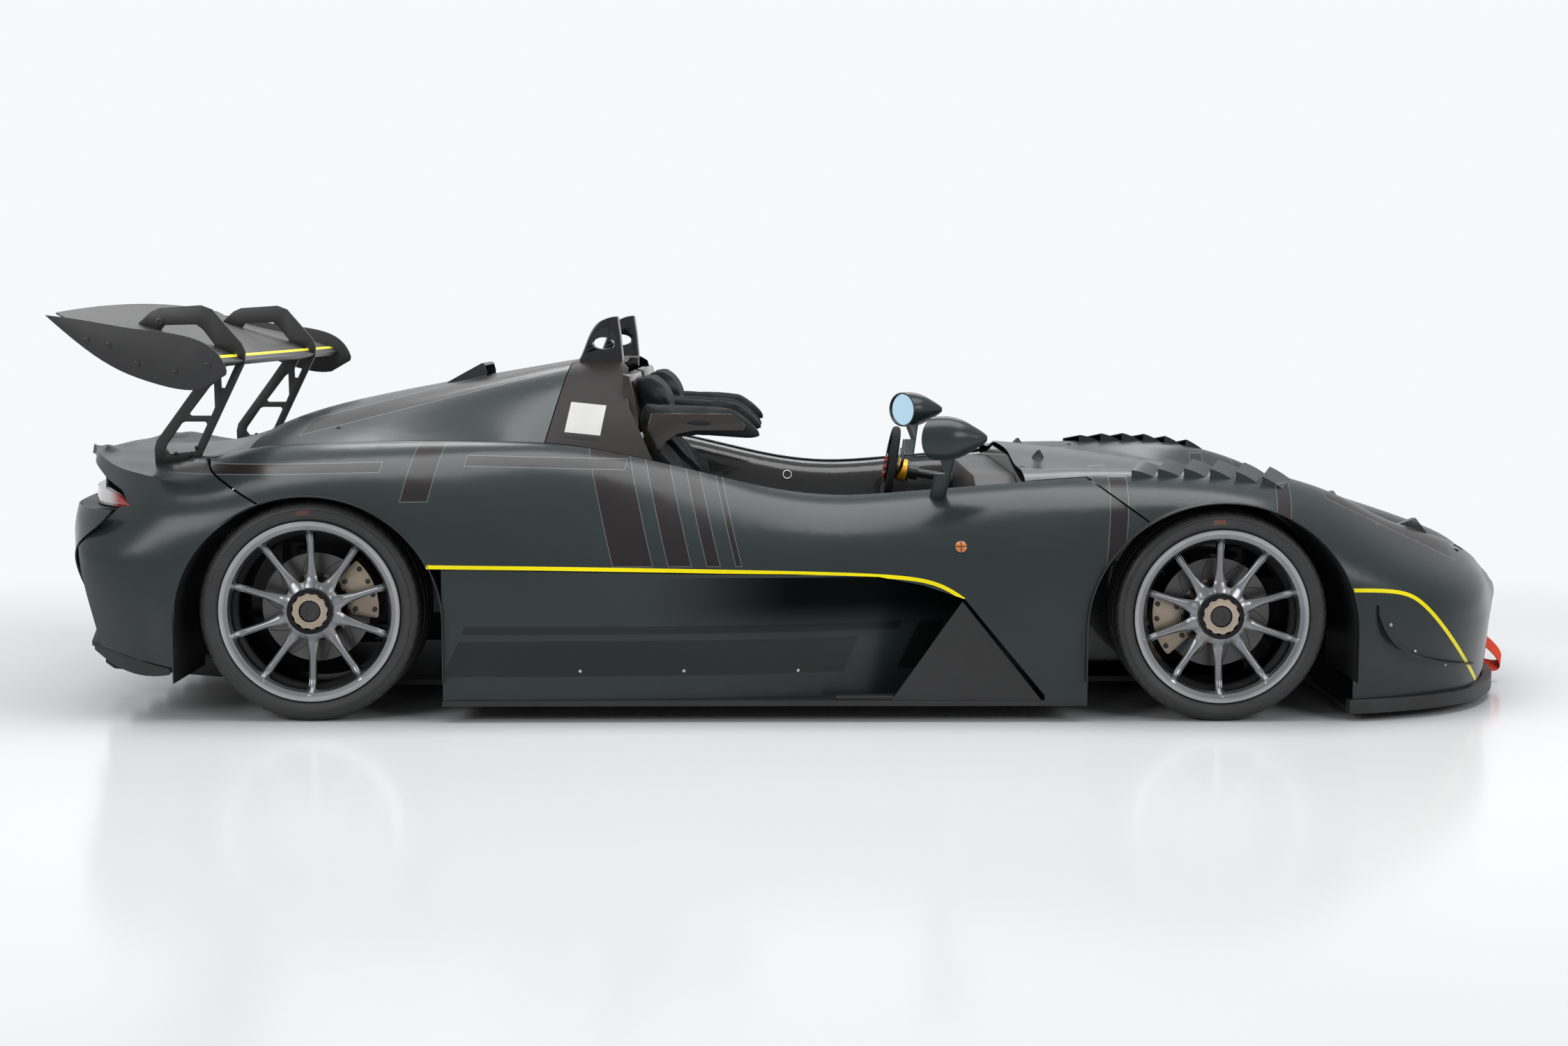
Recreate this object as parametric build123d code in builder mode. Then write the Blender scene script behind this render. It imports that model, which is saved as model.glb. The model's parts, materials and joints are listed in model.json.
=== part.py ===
"""Open two-seat track car: carbon tub, laminate bodywork, mid engine, centre-lock wheels and a rear wing.

Axes: +X to the nose, +Y to the car's left, +Z up. Origin: on the ground under the middle of the car.
"""
import os
from bisect import bisect_right
from math import cos, hypot, pi, radians, sin, tan

from build123d import *

# ---- driving dimensions, millimetres ---------------------------------------------------------------
WHEELBASE = 2475
AXLE_F = 1160
AXLE_R = AXLE_F - WHEELBASE
TYRE_FACE = 905  # half width over the tyres
SKIN = 4  # body laminate
GAP = 3  # shut lines
FLOOR_TOP = 60
FLOOR_THICK = 15
PAN_NOSE, PAN_TAIL = 1500, -1300
DIFFUSER_RISE = 152 / 700
KINGPIN = 735  # half distance between the steering axes
ARM = 100  # steering arm radius
ARM_RISE = 62  # steering arms above the front hubs
WING_HALF = 875
HOOP_W = 360  # roll hoops and seats stand this far from the centre line
SIDES = {"right": -1, "left": 1}

# Each corner: axle X, side, tyre radius, tyre width, rim flange radius
CORNERS = {
    "front_left": (AXLE_F, 1, 288, 215, 237),
    "front_right": (AXLE_F, -1, 288, 215, 237),
    "rear_left": (AXLE_R, 1, 302, 265, 247),
    "rear_right": (AXLE_R, -1, 302, 265, 247),
}

# ---- guide curves of the body: station X, half width, height ---------------------------------------
SPINE_FRONT = ((640, 0, 706), (994, 0, 668), (1173, 0, 642), (1400, 0, 604), (1600, 0, 564),
               (1750, 0, 522), (1941, 0, 455), (2030, 0, 408), (2075, 0, 366), (2090, 0, 340))
BONNET = ((640, 250, 698), (994, 250, 656), (1173, 245, 628), (1400, 235, 590), (1600, 215, 546),
          (1750, 195, 505), (1941, 140, 446), (2030, 95, 402), (2075, 60, 364), (2090, 27, 339))
VALLEY = ((640, 450, 674), (994, 450, 640), (1160, 450, 624), (1400, 430, 566), (1529, 415, 518),
          (1675, 380, 458), (1794, 335, 428), (1880, 290, 422), (1953, 235, 414), (2030, 160, 390),
          (2075, 104, 358), (2090, 48, 337))
RIM = ((-2060, 165, 733), (-2038, 250, 713), (-1957, 400, 690), (-1882, 480, 680), (-1791, 570, 674),
       (-1690, 640, 690), (-1600, 640, 712), (-1507, 640, 732), (-1315, 655, 745), (-1100, 668, 752),
       (-692, 700, 748), (-540, 712, 730), (-300, 726, 680), (-90, 735, 631), (116, 740, 607),
       (406, 745, 625), (648, 748, 645), (820, 748, 658), (960, 720, 670), (1160, 660, 676),
       (1300, 640, 664), (1434, 640, 634), (1529, 630, 598), (1675, 580, 527), (1794, 495, 486),
       (1880, 425, 458), (1953, 345, 428), (2030, 238, 388), (2075, 160, 352), (2090, 75, 334))
SHOULDER = ((-2060, 225, 734), (-2038, 335, 719), (-1957, 500, 692), (-1882, 595, 675), (-1791, 675, 664),
            (-1673, 735, 670), (-1600, 752, 688), (-1507, 765, 714), (-1315, 770, 738), (-1000, 775, 733),
            (-692, 765, 718), (-540, 768, 697), (-300, 778, 642), (-90, 788, 602), (116, 792, 581),
            (406, 795, 598), (648, 798, 618), (960, 800, 642), (1160, 790, 648), (1300, 780, 630),
            (1434, 770, 592), (1529, 750, 552), (1675, 700, 484), (1794, 625, 446), (1880, 550, 421),
            (1953, 460, 396), (2030, 320, 362), (2075, 222, 338), (2090, 104, 326))
HAUNCH = ((-2060, 270, 737), (-2038, 400, 728), (-1957, 580, 701), (-1882, 680, 679), (-1791, 765, 665),
          (-1673, 830, 644), (-1600, 856, 638), (-1507, 866, 652), (-1315, 862, 690), (-1000, 858, 668),
          (-692, 845, 612), (-540, 846, 590), (-300, 848, 560), (-90, 850, 540), (116, 851, 528),
          (406, 853, 540), (648, 857, 556), (960, 868, 590), (1160, 866, 608), (1300, 858, 584),
          (1434, 848, 532), (1529, 830, 490), (1675, 785, 428), (1794, 715, 398), (1880, 640, 378),
          (1953, 548, 358), (2030, 388, 336), (2075, 272, 324), (2090, 130, 319))
FLANK = ((-2060, 330, 660), (-2038, 450, 650), (-1957, 650, 620), (-1882, 760, 600), (-1791, 850, 582),
         (-1673, 905, 565), (-1507, 922, 575), (-1315, 925, 602), (-1000, 915, 560), (-692, 898, 500),
         (-90, 889, 482), (116, 888, 478), (648, 894, 484), (960, 908, 505), (1160, 916, 545),
         (1300, 908, 515), (1434, 897, 462), (1529, 880, 418), (1675, 838, 368), (1794, 775, 344),
         (1880, 700, 328), (1953, 600, 314), (2030, 430, 302), (2075, 303, 304), (2090, 146, 309))
WAIST = ((-2060, 500, 470), (-1965, 800, 470), (-1882, 880, 460), (-1791, 915, 455), (-1640, 935, 455),
         (-1315, 937, 470), (-1000, 930, 440), (-692, 918, 415), (-90, 908, 408), (300, 905, 400),
         (648, 908, 400), (960, 915, 405), (1160, 926, 440), (1434, 914, 388), (1529, 897, 345),
         (1675, 852, 300), (1794, 795, 283), (1880, 722, 270), (1953, 622, 258), (2030, 445, 256),
         (2075, 312, 282), (2090, 150, 299))
LOWER = ((-2060, 450, 280), (-1965, 770, 280), (-1910, 830, 275), (-1791, 900, 275), (-1640, 928, 275),
         (-1315, 935, 280), (-1000, 928, 250), (-90, 912, 240), (648, 912, 240), (960, 912, 240),
         (1434, 908, 240), (1529, 893, 210), (1675, 845, 178), (1794, 785, 165), (1880, 714, 160),
         (1953, 615, 162), (2030, 435, 205), (2075, 305, 262), (2090, 147, 290))
SILL = ((-2060, 420, 190), (-1965, 740, 190), (-1910, 800, 184), (-1791, 870, 150), (-1687, 895, 124),
        (-1500, 920, FLOOR_TOP), (-1000, 920, FLOOR_TOP), (-90, 908, FLOOR_TOP), (648, 906, FLOOR_TOP),
        (960, 905, FLOOR_TOP), (1434, 900, FLOOR_TOP + 1), (1529, 885, FLOOR_TOP + 1),
        (1675, 835, FLOOR_TOP + 1), (1794, 770, FLOOR_TOP + 1), (1880, 700, FLOOR_TOP + 1),
        (1953, 600, 74), (2030, 425, 160), (2075, 300, 242), (2090, 144, 284))
SPINE_TAIL = ((-2062, 0, 738), (-2038, 0, 714), (-1957, 0, 702), (-1882, 0, 702), (-1791, 0, 709),
              (-1673, 0, 730), (-1600, 0, 752), (-1500, 0, 786))
DECK = ((-2060, 55, 735), (-2038, 85, 713), (-1957, 140, 700), (-1882, 170, 698), (-1791, 200, 702),
        (-1673, 225, 722), (-1600, 235, 744), (-1500, 240, 776))
DISH = ((-2060, 110, 733), (-2038, 165, 712), (-1957, 270, 694), (-1882, 330, 687), (-1791, 400, 686),
        (-1673, 450, 706), (-1600, 470, 727), (-1500, 480, 752))
COVER_SPINE = ((-1530, 0, 782), (-1380, 0, 832), (-1100, 0, 890), (-920, 0, 922), (-780, 0, 946),
               (-620, 0, 972), (-380, 0, 976))
COVER_TOP = ((-1530, 200, 778), (-1380, 200, 824), (-1100, 220, 880), (-920, 240, 912), (-620, 290, 966),
             (-380, 300, 968))
COVER_EDGE = ((-1530, 400, 764), (-1380, 390, 800), (-1100, 400, 852), (-920, 415, 890), (-620, 440, 956),
              (-380, 450, 955))
COVER_SIDE = ((-1530, 530, 750), (-1380, 520, 772), (-1100, 530, 805), (-920, 545, 825), (-620, 590, 862),
              (-380, 600, 850))
CHANNEL_TOP = ((-1000, 921, 418), (-600, 914, 412), (-264, 908, 405), (0, 900, 403), (200, 880, 395),
               (462, 820, 335), (680, 760, 310), (800, 750, 300))
CHANNEL_MID = ((-1000, 918, 240), (-600, 905, 235), (-264, 885, 230), (0, 850, 228), (200, 800, 225),
               (462, 730, 200), (680, 690, 190), (800, 680, 190))
CHANNEL_FOOT = ((-1000, 915, FLOOR_TOP), (-600, 903, FLOOR_TOP), (-264, 885, FLOOR_TOP),
                (0, 845, FLOOR_TOP), (200, 795, FLOOR_TOP), (462, 725, FLOOR_TOP), (680, 690, FLOOR_TOP),
                (800, 680, FLOOR_TOP))

os.makedirs("parts", exist_ok=True)


# ---- helpers ---------------------------------------------------------------------------------------
def along(guide, x):
    """Half width and height of a guide curve at station x, on smooth cubics through its points."""
    xs = [point[0] for point in guide]
    x = min(max(x, xs[0]), xs[-1])
    i = min(bisect_right(xs, x), len(xs) - 1) - 1
    span = xs[i + 1] - xs[i]
    t = (x - xs[i]) / span
    values = []
    for k in (1, 2):
        slopes = []
        for j in (i, i + 1):
            before, after = max(j - 1, 0), min(j + 1, len(xs) - 1)
            slopes.append((guide[after][k] - guide[before][k]) / (xs[after] - xs[before]))
        ends = (1 + 2 * t) * (1 - t) ** 2 * guide[i][k] + t * t * (3 - 2 * t) * guide[i + 1][k]
        values.append(ends + t * (1 - t) * span * ((1 - t) * slopes[0] - t * slopes[1]))
    return tuple(values)


def inset(points, depth):
    """An open profile, from the centre outwards and down, moved inwards by depth."""
    moved = []
    for i, (w, z) in enumerate(points):
        before, after = points[max(i - 1, 0)], points[min(i + 1, len(points) - 1)]
        run, rise = after[0] - before[0], after[1] - before[1]
        length = hypot(run, rise)
        moved.append((w + depth * rise / length, z - depth * run / length))
    return moved


def outline(points, creases=()):
    """Splines through the points, broken at the creases, inside the current BuildLine."""
    stops = [0, *creases, len(points) - 1]
    for first, last in zip(stops, stops[1:]):
        run = points[first:last + 1]
        if len(run) == 2:
            Line(*run)
        else:
            Spline(*run)


def through(guides):
    """The profile function of a set of guides."""
    return lambda x: [along(guide, x) for guide in guides]


def ring(outer, inner):
    """The closed outline between two open curves, inside the current BuildLine."""
    Spline(*outer)
    Line(outer[-1], inner[-1])
    Spline(*reversed(inner))
    Line(inner[0], outer[0])


def side_skin(profile, stations, side, depth=SKIN):
    """Loft a laminate shell on one side through the profiles that a function gives for each station."""
    sections = []
    for x in stations:
        outer = profile(x)
        inner = inset(outer, depth)
        with BuildSketch(Plane.YZ.offset(x)) as section:
            with BuildLine():
                outline([(side * w, z) for w, z in outer])
                Line((side * outer[-1][0], outer[-1][1]), (side * inner[-1][0], inner[-1][1]))
                outline([(side * w, z) for w, z in reversed(inner)])
                Line((side * inner[0][0], inner[0][1]), (side * outer[0][0], outer[0][1]))
            make_face()
        sections.append(section.sketch)
    loft(sections)


def full_skin(profile, stations, creases=(), depth=SKIN):
    """Loft a shell from side to side through half profiles that start on the centre line."""
    count = len(profile(stations[0]))
    breaks = sorted([count - 1 - c for c in creases] + [count - 1 + c for c in creases])
    flipped = sorted(2 * (count - 1) - b for b in breaks)
    sections = []
    for x in stations:
        outer = profile(x)
        inner = inset(outer, depth)
        inner[0] = (0, outer[0][1] - depth)
        whole = [[(-w, z) for w, z in reversed(half[1:])] + half for half in (outer, inner)]
        with BuildSketch(Plane.YZ.offset(x)) as section:
            with BuildLine():
                outline(whole[0], breaks)
                Line(whole[0][-1], whole[1][-1])
                outline(whole[1][::-1], flipped)
                Line(whole[1][0], whole[0][0])
            make_face()
        sections.append(section.sketch)
    loft(sections)


def mirrored(points):
    """A half outline of the front view, closed by its mirror image."""
    return points + [(-w, z) for w, z in reversed(points)]


def side_plane(side, width):
    """The side view's plane at a half width; extrude by -side * depth to go outwards."""
    return Plane.XZ.offset(-side * width)


def rod(start, end, radius, mode=Mode.ADD):
    """A round bar between two points, inside the current BuildPart."""
    path = Vector(*end) - Vector(*start)
    with BuildSketch(Plane(origin=start, z_dir=path)) as section:
        Circle(radius)
    extrude(section.sketch, amount=path.length, mode=mode)


def arch_opening(side, axle, half_length, centre_z, rise, inner, outer=1000):
    """Cut the wheel opening: half an ellipse over a straight-sided gap, through one side."""
    with BuildSketch(side_plane(side, inner)) as opening:
        with Locations((axle, centre_z)):
            Ellipse(half_length, rise)
        with Locations((axle, centre_z / 2 - 50)):
            Rectangle(2 * half_length, centre_z + 100)
    extrude(opening.sketch, amount=outer - inner, mode=Mode.SUBTRACT, dir=(0, side, 0))


def save(piece, name):
    """Label a finished piece and write its file."""
    piece.part.label = name
    export_step(piece.part, f"parts/{name}.step")


# ---- wheels, brakes and knuckles -------------------------------------------------------------------
DISC_R = 150
DISC_THICK = 28
DISC_W = 780  # half width at the disc's mid plane
HUB_FACE = 840  # where rim and disc bell meet
SPOKES = 10
SPOKE_HALF = 9
WINDOW_FOOT = 80  # radius where the windows between the spokes start
WINDOW_FILLET = 8
CALIPER_SPREAD = 29  # half the caliper's arc, degrees
CALIPER_DROP = 12  # front calipers sit below the hub's height, degrees
CALIPER_LIFT = 20  # rear calipers sit above it
PIN_R = 8
EYE_R = 17
UPPER_EYE = 122
LOWER_EYE = -117
EYE_H = 20
LINK_PIN_R = 6
LINK_BORE_R = 16

rear_pairs = {"calipers": [], "knuckles": []}
for corner, (axle, side, tyre_r, tyre_w, rim_r) in CORNERS.items():
    hub = (axle, 0, tyre_r)
    spin = Axis(hub, (0, 1, 0))
    radial = Plane(origin=hub, x_dir=(0, side, 0), z_dir=(side, 0, 0))  # x outwards, y along a radius
    in_face, out_face = TYRE_FACE - tyre_w, TYRE_FACE
    bead_in = rim_r - 17

    with BuildPart() as tyre:
        with BuildSketch(radial):
            with BuildLine():
                Polyline((in_face + 12, rim_r), (in_face + 12, bead_in), (in_face + 34, bead_in),
                         (in_face + 22, rim_r + 6), (in_face + 16, rim_r + 25), (in_face + 24, tyre_r - 12),
                         (out_face - 24, tyre_r - 12), (out_face - 16, rim_r + 25),
                         (out_face - 22, rim_r + 6),
                         (out_face - 34, bead_in), (out_face - 12, bead_in), (out_face - 12, rim_r))
                Spline((out_face - 12, rim_r), (out_face, rim_r + 26), (out_face - 7, tyre_r - 14))
                Spline((out_face - 7, tyre_r - 14), (out_face - 15, tyre_r - 4), (out_face - 32, tyre_r),
                       tangents=((-0.5, 1), (-1, 0)))
                Line((out_face - 32, tyre_r), (in_face + 32, tyre_r))
                Spline((in_face + 32, tyre_r), (in_face + 15, tyre_r - 4), (in_face + 7, tyre_r - 14),
                       tangents=((-1, 0), (-0.5, -1)))
                Spline((in_face + 7, tyre_r - 14), (in_face, rim_r + 26), (in_face + 12, rim_r))
            make_face()
        revolve(axis=spin)
    save(tyre, f"tyre_{corner}")

    with BuildPart() as rim:
        with BuildSketch(radial):
            with BuildLine():
                Polyline((in_face + 4, rim_r - 1), (in_face + 11.7, rim_r - 1),
                         (in_face + 11.7, bead_in - 0.3),
                         (in_face + 38, bead_in - 0.3), (in_face + 52, rim_r - 36),
                         (out_face - 60, rim_r - 36),
                         (out_face - 38, bead_in - 0.3), (out_face - 11.7, bead_in - 0.3),
                         (out_face - 11.7, rim_r - 1), (out_face - 4, rim_r - 1), (out_face - 4, rim_r - 10),
                         (out_face - 10, rim_r - 23), (out_face - 42, rim_r - 27),
                         (out_face - 64, rim_r - 42),
                         (in_face + 48, rim_r - 42), (in_face + 34, bead_in - 6), (in_face + 4, bead_in - 6),
                         close=True)
            make_face()
        revolve(axis=spin)
        with BuildSketch(radial):
            with BuildLine():
                Polyline((HUB_FACE, 34), (HUB_FACE, 74), (HUB_FACE + 26, 66), (HUB_FACE + 36, 58),
                         (HUB_FACE + 36, 34), close=True)
            make_face()
        revolve(axis=spin)
        with BuildSketch(side_plane(side, HUB_FACE + 6)):  # spokes are what rounded windows leave
            with Locations((axle, tyre_r)):
                Circle(rim_r - 22)
                Circle(50, mode=Mode.SUBTRACT)
            with BuildSketch(Plane.XY, mode=Mode.PRIVATE) as window:
                foot, crown, half_turn = WINDOW_FOOT, rim_r - 30, pi / SPOKES
                near = foot * tan(half_turn) - SPOKE_HALF
                spread = half_turn - SPOKE_HALF / crown
                corner_out = (crown * cos(spread), crown * sin(spread))
                with BuildLine():
                    Line((foot, -near), (foot, near))
                    Line((foot, near), corner_out)
                    ThreePointArc(corner_out, (crown, 0), (corner_out[0], -corner_out[1]))
                    Line((corner_out[0], -corner_out[1]), (foot, -near))
                make_face()
                fillet(window.vertices(), WINDOW_FILLET)
            with Locations((axle, tyre_r)):
                with PolarLocations(0, SPOKES, start_angle=90 + 180 / SPOKES):
                    add(window.sketch, mode=Mode.SUBTRACT)
        extrude(amount=-side * 50)
        with BuildSketch(radial):  # the spokes dish in towards the hub
            with BuildLine():
                Polyline((HUB_FACE + 36.1, 62), (HUB_FACE + 22, 90), (HUB_FACE + 26, rim_r - 60),
                         (HUB_FACE + 36, rim_r - 36), (HUB_FACE + 54, rim_r - 24),
                         (HUB_FACE + 70, rim_r - 24),
                         (HUB_FACE + 70, 62), close=True)
            make_face()
        revolve(axis=spin, mode=Mode.SUBTRACT)
        with BuildSketch(side_plane(side, HUB_FACE + 30)):  # centre-lock nut
            with Locations((axle, tyre_r)):
                Circle(46)
                Circle(30, mode=Mode.SUBTRACT)
                with PolarLocations(46, 12):
                    Rectangle(7, 9, mode=Mode.SUBTRACT)
        extrude(amount=-side * 20)
    save(rim, f"rim_{corner}")

    with BuildPart() as brake_disc:
        with BuildSketch(radial):
            with BuildLine():
                low, high = DISC_W - DISC_THICK / 2, DISC_W + DISC_THICK / 2
                Polyline((low, 92), (low, DISC_R), (high, DISC_R), (high, 84), (HUB_FACE, 74), (HUB_FACE, 34),
                         (HUB_FACE - 8, 34), (HUB_FACE - 8, 68), (high - 8, 76), (high - 8, 92), close=True)
            make_face()
        revolve(axis=spin)
    save(brake_disc, f"brake_disc_{corner}")

    facing = -1 if axle > 0 else 1  # front calipers trail the disc, rear calipers lead it
    lean = CALIPER_DROP if axle > 0 else CALIPER_LIFT
    with BuildPart() as caliper:
        with BuildSketch(side_plane(side, DISC_W - 45)):
            with BuildLine():
                middle = 180 + lean if facing < 0 else lean
                first, last = radians(middle - CALIPER_SPREAD), radians(middle + CALIPER_SPREAD)
                ends = [(axle + r * cos(a), tyre_r + r * sin(a)) for a in (first, last) for r in (98, 176)]
                CenterArc((axle, tyre_r), 176, middle - CALIPER_SPREAD, 2 * CALIPER_SPREAD)
                CenterArc((axle, tyre_r), 98, middle - CALIPER_SPREAD, 2 * CALIPER_SPREAD)
                Line(ends[0], ends[1])
                Line(ends[2], ends[3])
            make_face()
        extrude(amount=-side * 90)
        fillet(caliper.edges().filter_by(Axis.Y), 8)
        with BuildSketch(radial):
            with Locations((DISC_W, (DISC_R + 6) / 2)):
                Rectangle(DISC_THICK + 10, DISC_R + 6)
        revolve(axis=spin, mode=Mode.SUBTRACT)
    if axle > 0:
        save(caliper, f"caliper_{corner}")

    with BuildPart() as knuckle:
        z_low, z_high = tyre_r + LOWER_EYE + EYE_H / 2 + 1, tyre_r + UPPER_EYE - EYE_H / 2 - 1
        with BuildSketch(side_plane(side, 712)):
            with Locations((axle, tyre_r)):
                Circle(62)
            with BuildLine():
                Polyline((axle - 20, z_high), (axle + 20, z_high), (axle + 44, tyre_r), (axle + 20, z_low),
                         (axle - 20, z_low), (axle - 44, tyre_r), close=True)
            make_face()
        extrude(amount=-side * 22)
        for z_pin, height in ((z_high, EYE_H + 4), (z_low, -EYE_H - 4)):
            with BuildSketch(Plane(origin=(axle, side * KINGPIN, z_pin))):
                Circle(PIN_R)
            extrude(amount=height)
        for z_lug, height in ((z_high, -34), (z_low, 34)):
            with BuildSketch(Plane(origin=(axle, side * KINGPIN, z_lug))):
                Rectangle(36, 46)
            extrude(amount=height)
        rod((axle, side * 712, tyre_r), (axle, side * (HUB_FACE - 10), tyre_r), 28)
        for spread in (-16, 16):  # caliper lugs
            turn = radians(middle + spread)
            lug = (axle + 125 * cos(turn), side * 723, tyre_r + 125 * sin(turn))
            rod((axle, side * 723, tyre_r), lug, 11)
            with BuildSketch(side_plane(side, 713)):
                with Locations((axle + 120 * cos(turn), tyre_r + 120 * sin(turn))):
                    Circle(13)
            extrude(amount=-side * (DISC_W - 45 - 713))
        if axle > 0:
            arm_z = tyre_r + ARM_RISE
            rod((axle - 20, side * 723, tyre_r + 30), (axle - ARM, side * KINGPIN, arm_z - 18), 9)
            with BuildSketch(Plane(origin=(axle - ARM, side * KINGPIN, arm_z - 26))):
                Circle(12)
            extrude(amount=14)
            with BuildSketch(Plane(origin=(axle - ARM, side * KINGPIN, arm_z - 14))):
                Circle(LINK_PIN_R)
            extrude(amount=26)
    if axle > 0:
        save(knuckle, f"knuckle_{corner}")
    else:
        rear_pairs["calipers"].append(caliper.part)
        rear_pairs["knuckles"].append(knuckle.part)

for name, pieces in rear_pairs.items():
    with BuildPart() as pair:
        add(pieces)
    save(pair, f"{name}_rear")


# ---- bodywork --------------------------------------------------------------------------------------
SIDE_GUIDES = (RIM, SHOULDER, HAUNCH, FLANK, WAIST, LOWER, SILL)
FRONT_GUIDES = (SPINE_FRONT, BONNET, VALLEY, RIM, SHOULDER, HAUNCH, FLANK, WAIST, LOWER, SILL)
TAIL_GUIDES = (SPINE_TAIL, DECK, DISH, RIM, SHOULDER, HAUNCH, FLANK, WAIST, LOWER, SILL)
COVER_GUIDES = (COVER_SPINE, COVER_TOP, COVER_EDGE, COVER_SIDE)
FRONT_ARCH = dict(axle=AXLE_F, half_length=363, centre_z=250, rise=345)
REAR_ARCH = dict(axle=AXLE_R, half_length=360, centre_z=275, rise=339)
FRONT_SHUT = ((700, 733), (1100, 441))  # side panel to front clamshell, on through the arch
TAIL_SHUT = ((-1900, 837), (-1300, 523))  # side panel to tail, on through the arch
BONNET_EDGE = 745
DECK_EDGE = 640
DECK_FRONT = -1530
COVER_SHUT = ((-632, 1000), (-700, 715))  # engine cover to roll structure
ROLL_FRONT = ((-540, 1000), (-476, 951), (-463, 843), (-388, 692), (-340, 600))
SPLITTER_REAR = 1512
SPLITTER = ((SPLITTER_REAR, 901), (1532, 898), (1680, 851), (1800, 789), (1888, 716), (1962, 618),
            (2042, 440), (2083, 240))
CANARD = ((1588, 318), (1604, 262), (1640, 212), (1700, 178), (1800, 148), (1915, 128))  # side view
CANARD_REACH = 30
CANARD_THICK = 4
SIDE_STATIONS = (-1690, -1600, -1507, -1400, -1200, -1000, -850, -692, -540, -400, -250, -90, 116, 280,
                 406, 540, 648, 760, 880, 1000)
FRONT_STATIONS = (640, 760, 880, 994, 1080, 1173, 1300, 1434, 1529, 1600, 1675, 1794, 1880, 1953, 2030,
                  2066, 2088)
TAIL_STATIONS = (-2038, -2000, -1957, -1882, -1791, -1673, -1600, -1530, -1440)
CHANNEL_STATIONS = (-953, -780, -600, -430, -264, -130, 0, 200, 330, 462, 640, 795)
LOUVRE_X = tuple(range(1036, 1400, 72))  # front of each louvre, at its inner end
LOUVRE_IN, LOUVRE_OUT = 655, 765
LOUVRE_SWEEP = 44  # how far the outer end lies behind the inner end
LOUVRE_REACH = 62
LOUVRE_RISE = 24
LOUVRE_THICK = 3
LOUVRE_SLOT = 64
SLOT_LOW = 380  # under the skins that the slots go through
MOUTH = ((1966, 0), (1966, 74), (1953, 190), (1952, 236), (1972, 252), (2040, 246), (2100, 292), (2300, 292),
         (2300, 0))
NOSE_DUCT = ((1898, 478), (1922, 474), (1975, 352), (1952, 345))
SCOOP = ((-1060, 880), (-1048, 899), (-990, 931), (-944, 956), (-936, 953), (-930, 930), (-930, 880))
SCOOP_INSIDE = ((-1050, 850), (-1044, 896), (-988, 926), (-944, 951), (-920, 944), (-920, 850))
SCOOP_HALF = 112
CREST_BULGE = 4
LINER = 3
LINER_ROOM = 3  # liners stand this far outside the arch openings
LINER_FOOT = 110
LINER_OUT = 930
RECESS = ((-992, 418), (-600, 411), (-237, 405), (40, 402), (230, 395), (350, 372), (462, 335), (680, 72))


def side_region(points, inner=0, outer=1000, side=-1, mode=Mode.SUBTRACT):
    """Remove or keep a prism over a polygon of the side view, on one side of the car."""
    with BuildSketch(side_plane(side, inner)) as region:
        with BuildLine():
            Polyline(*points, close=True)
        make_face()
    extrude(region.sketch, amount=outer - inner, dir=(0, side, 0), mode=mode)


def drop_offcuts(piece, count):
    """Remove all but the largest solids of a piece, inside its BuildPart."""
    for offcut in piece.solids().sort_by(SortBy.VOLUME)[:-count]:
        add(offcut, mode=Mode.SUBTRACT)


def pan_height(x):
    """Height of the diffuser's upper face."""
    return FLOOR_TOP - DIFFUSER_RISE * (x - PAN_TAIL)


def crest(x, w):
    """Height of the front clamshell's crest at station x and half width w, between its rim and shoulder."""
    (rim_w, rim_z), (out_w, out_z) = along(RIM, x), along(SHOULDER, x)
    t = (w - rim_w) / (out_w - rim_w)
    return rim_z + t * (out_z - rim_z) + 4 * CREST_BULGE * t * (1 - t)


def flank(x, z):
    """Half width of the body's side at station x and height z, below the waist."""
    (upper_w, upper_z), (lower_w, lower_z) = along(WAIST, x), along(LOWER, x)
    return lower_w + (upper_w - lower_w) * (z - lower_z) / (upper_z - lower_z)


def cover_profile(x):
    """The engine cover's half profile, which stops a shut line inside the side panels' rim."""
    w, z = along(RIM, x)
    return [*through(COVER_GUIDES)(x), (w - GAP - 1, z + 1)]


side_panels = []
for name, side in SIDES.items():
    with BuildPart() as side_panel:
        side_skin(through(SIDE_GUIDES), SIDE_STATIONS, side)
        side_region([*TAIL_SHUT, (-1300, -300), (-2300, -300), (-2300, 837)], side=side)
        side_region([*FRONT_SHUT, (1100, -300), (1500, -300), (1500, 1200), (700, 1200)], side=side)
        arch_opening(side, inner=500, **REAR_ARCH)
        arch_opening(side, inner=500, **FRONT_ARCH)
        recess = [(x, z + GAP) for x, z in RECESS]
        side_region([*recess, (690, 0), (-1100, 0), (-1100, recess[0][1])], 700, 1000, side)
    save(side_panel, f"side_panel_{name}")
    side_panels.append(side_panel.part)

with BuildPart() as channel_panels:
    for side in SIDES.values():
        side_skin(through((CHANNEL_TOP, CHANNEL_MID, CHANNEL_FOOT)), CHANNEL_STATIONS, side)
save(channel_panels, "channel_panels")


def lamp_profile(x):
    """A strip along the outer flank of the front crest, as the headlamp lenses' outside."""
    (w0, z0), (w1, z1) = along(RIM, x), along(SHOULDER, x)
    return [(w0 + t * (w1 - w0), z0 + t * (z1 - z0) + 5) for t in (0.1, 0.25, 0.4)]


with BuildPart() as headlamps:
    for side in SIDES.values():
        side_skin(lamp_profile, (1530, 1600, 1675, 1740, 1794), side, 16)
save(headlamps, "headlamps")

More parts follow.
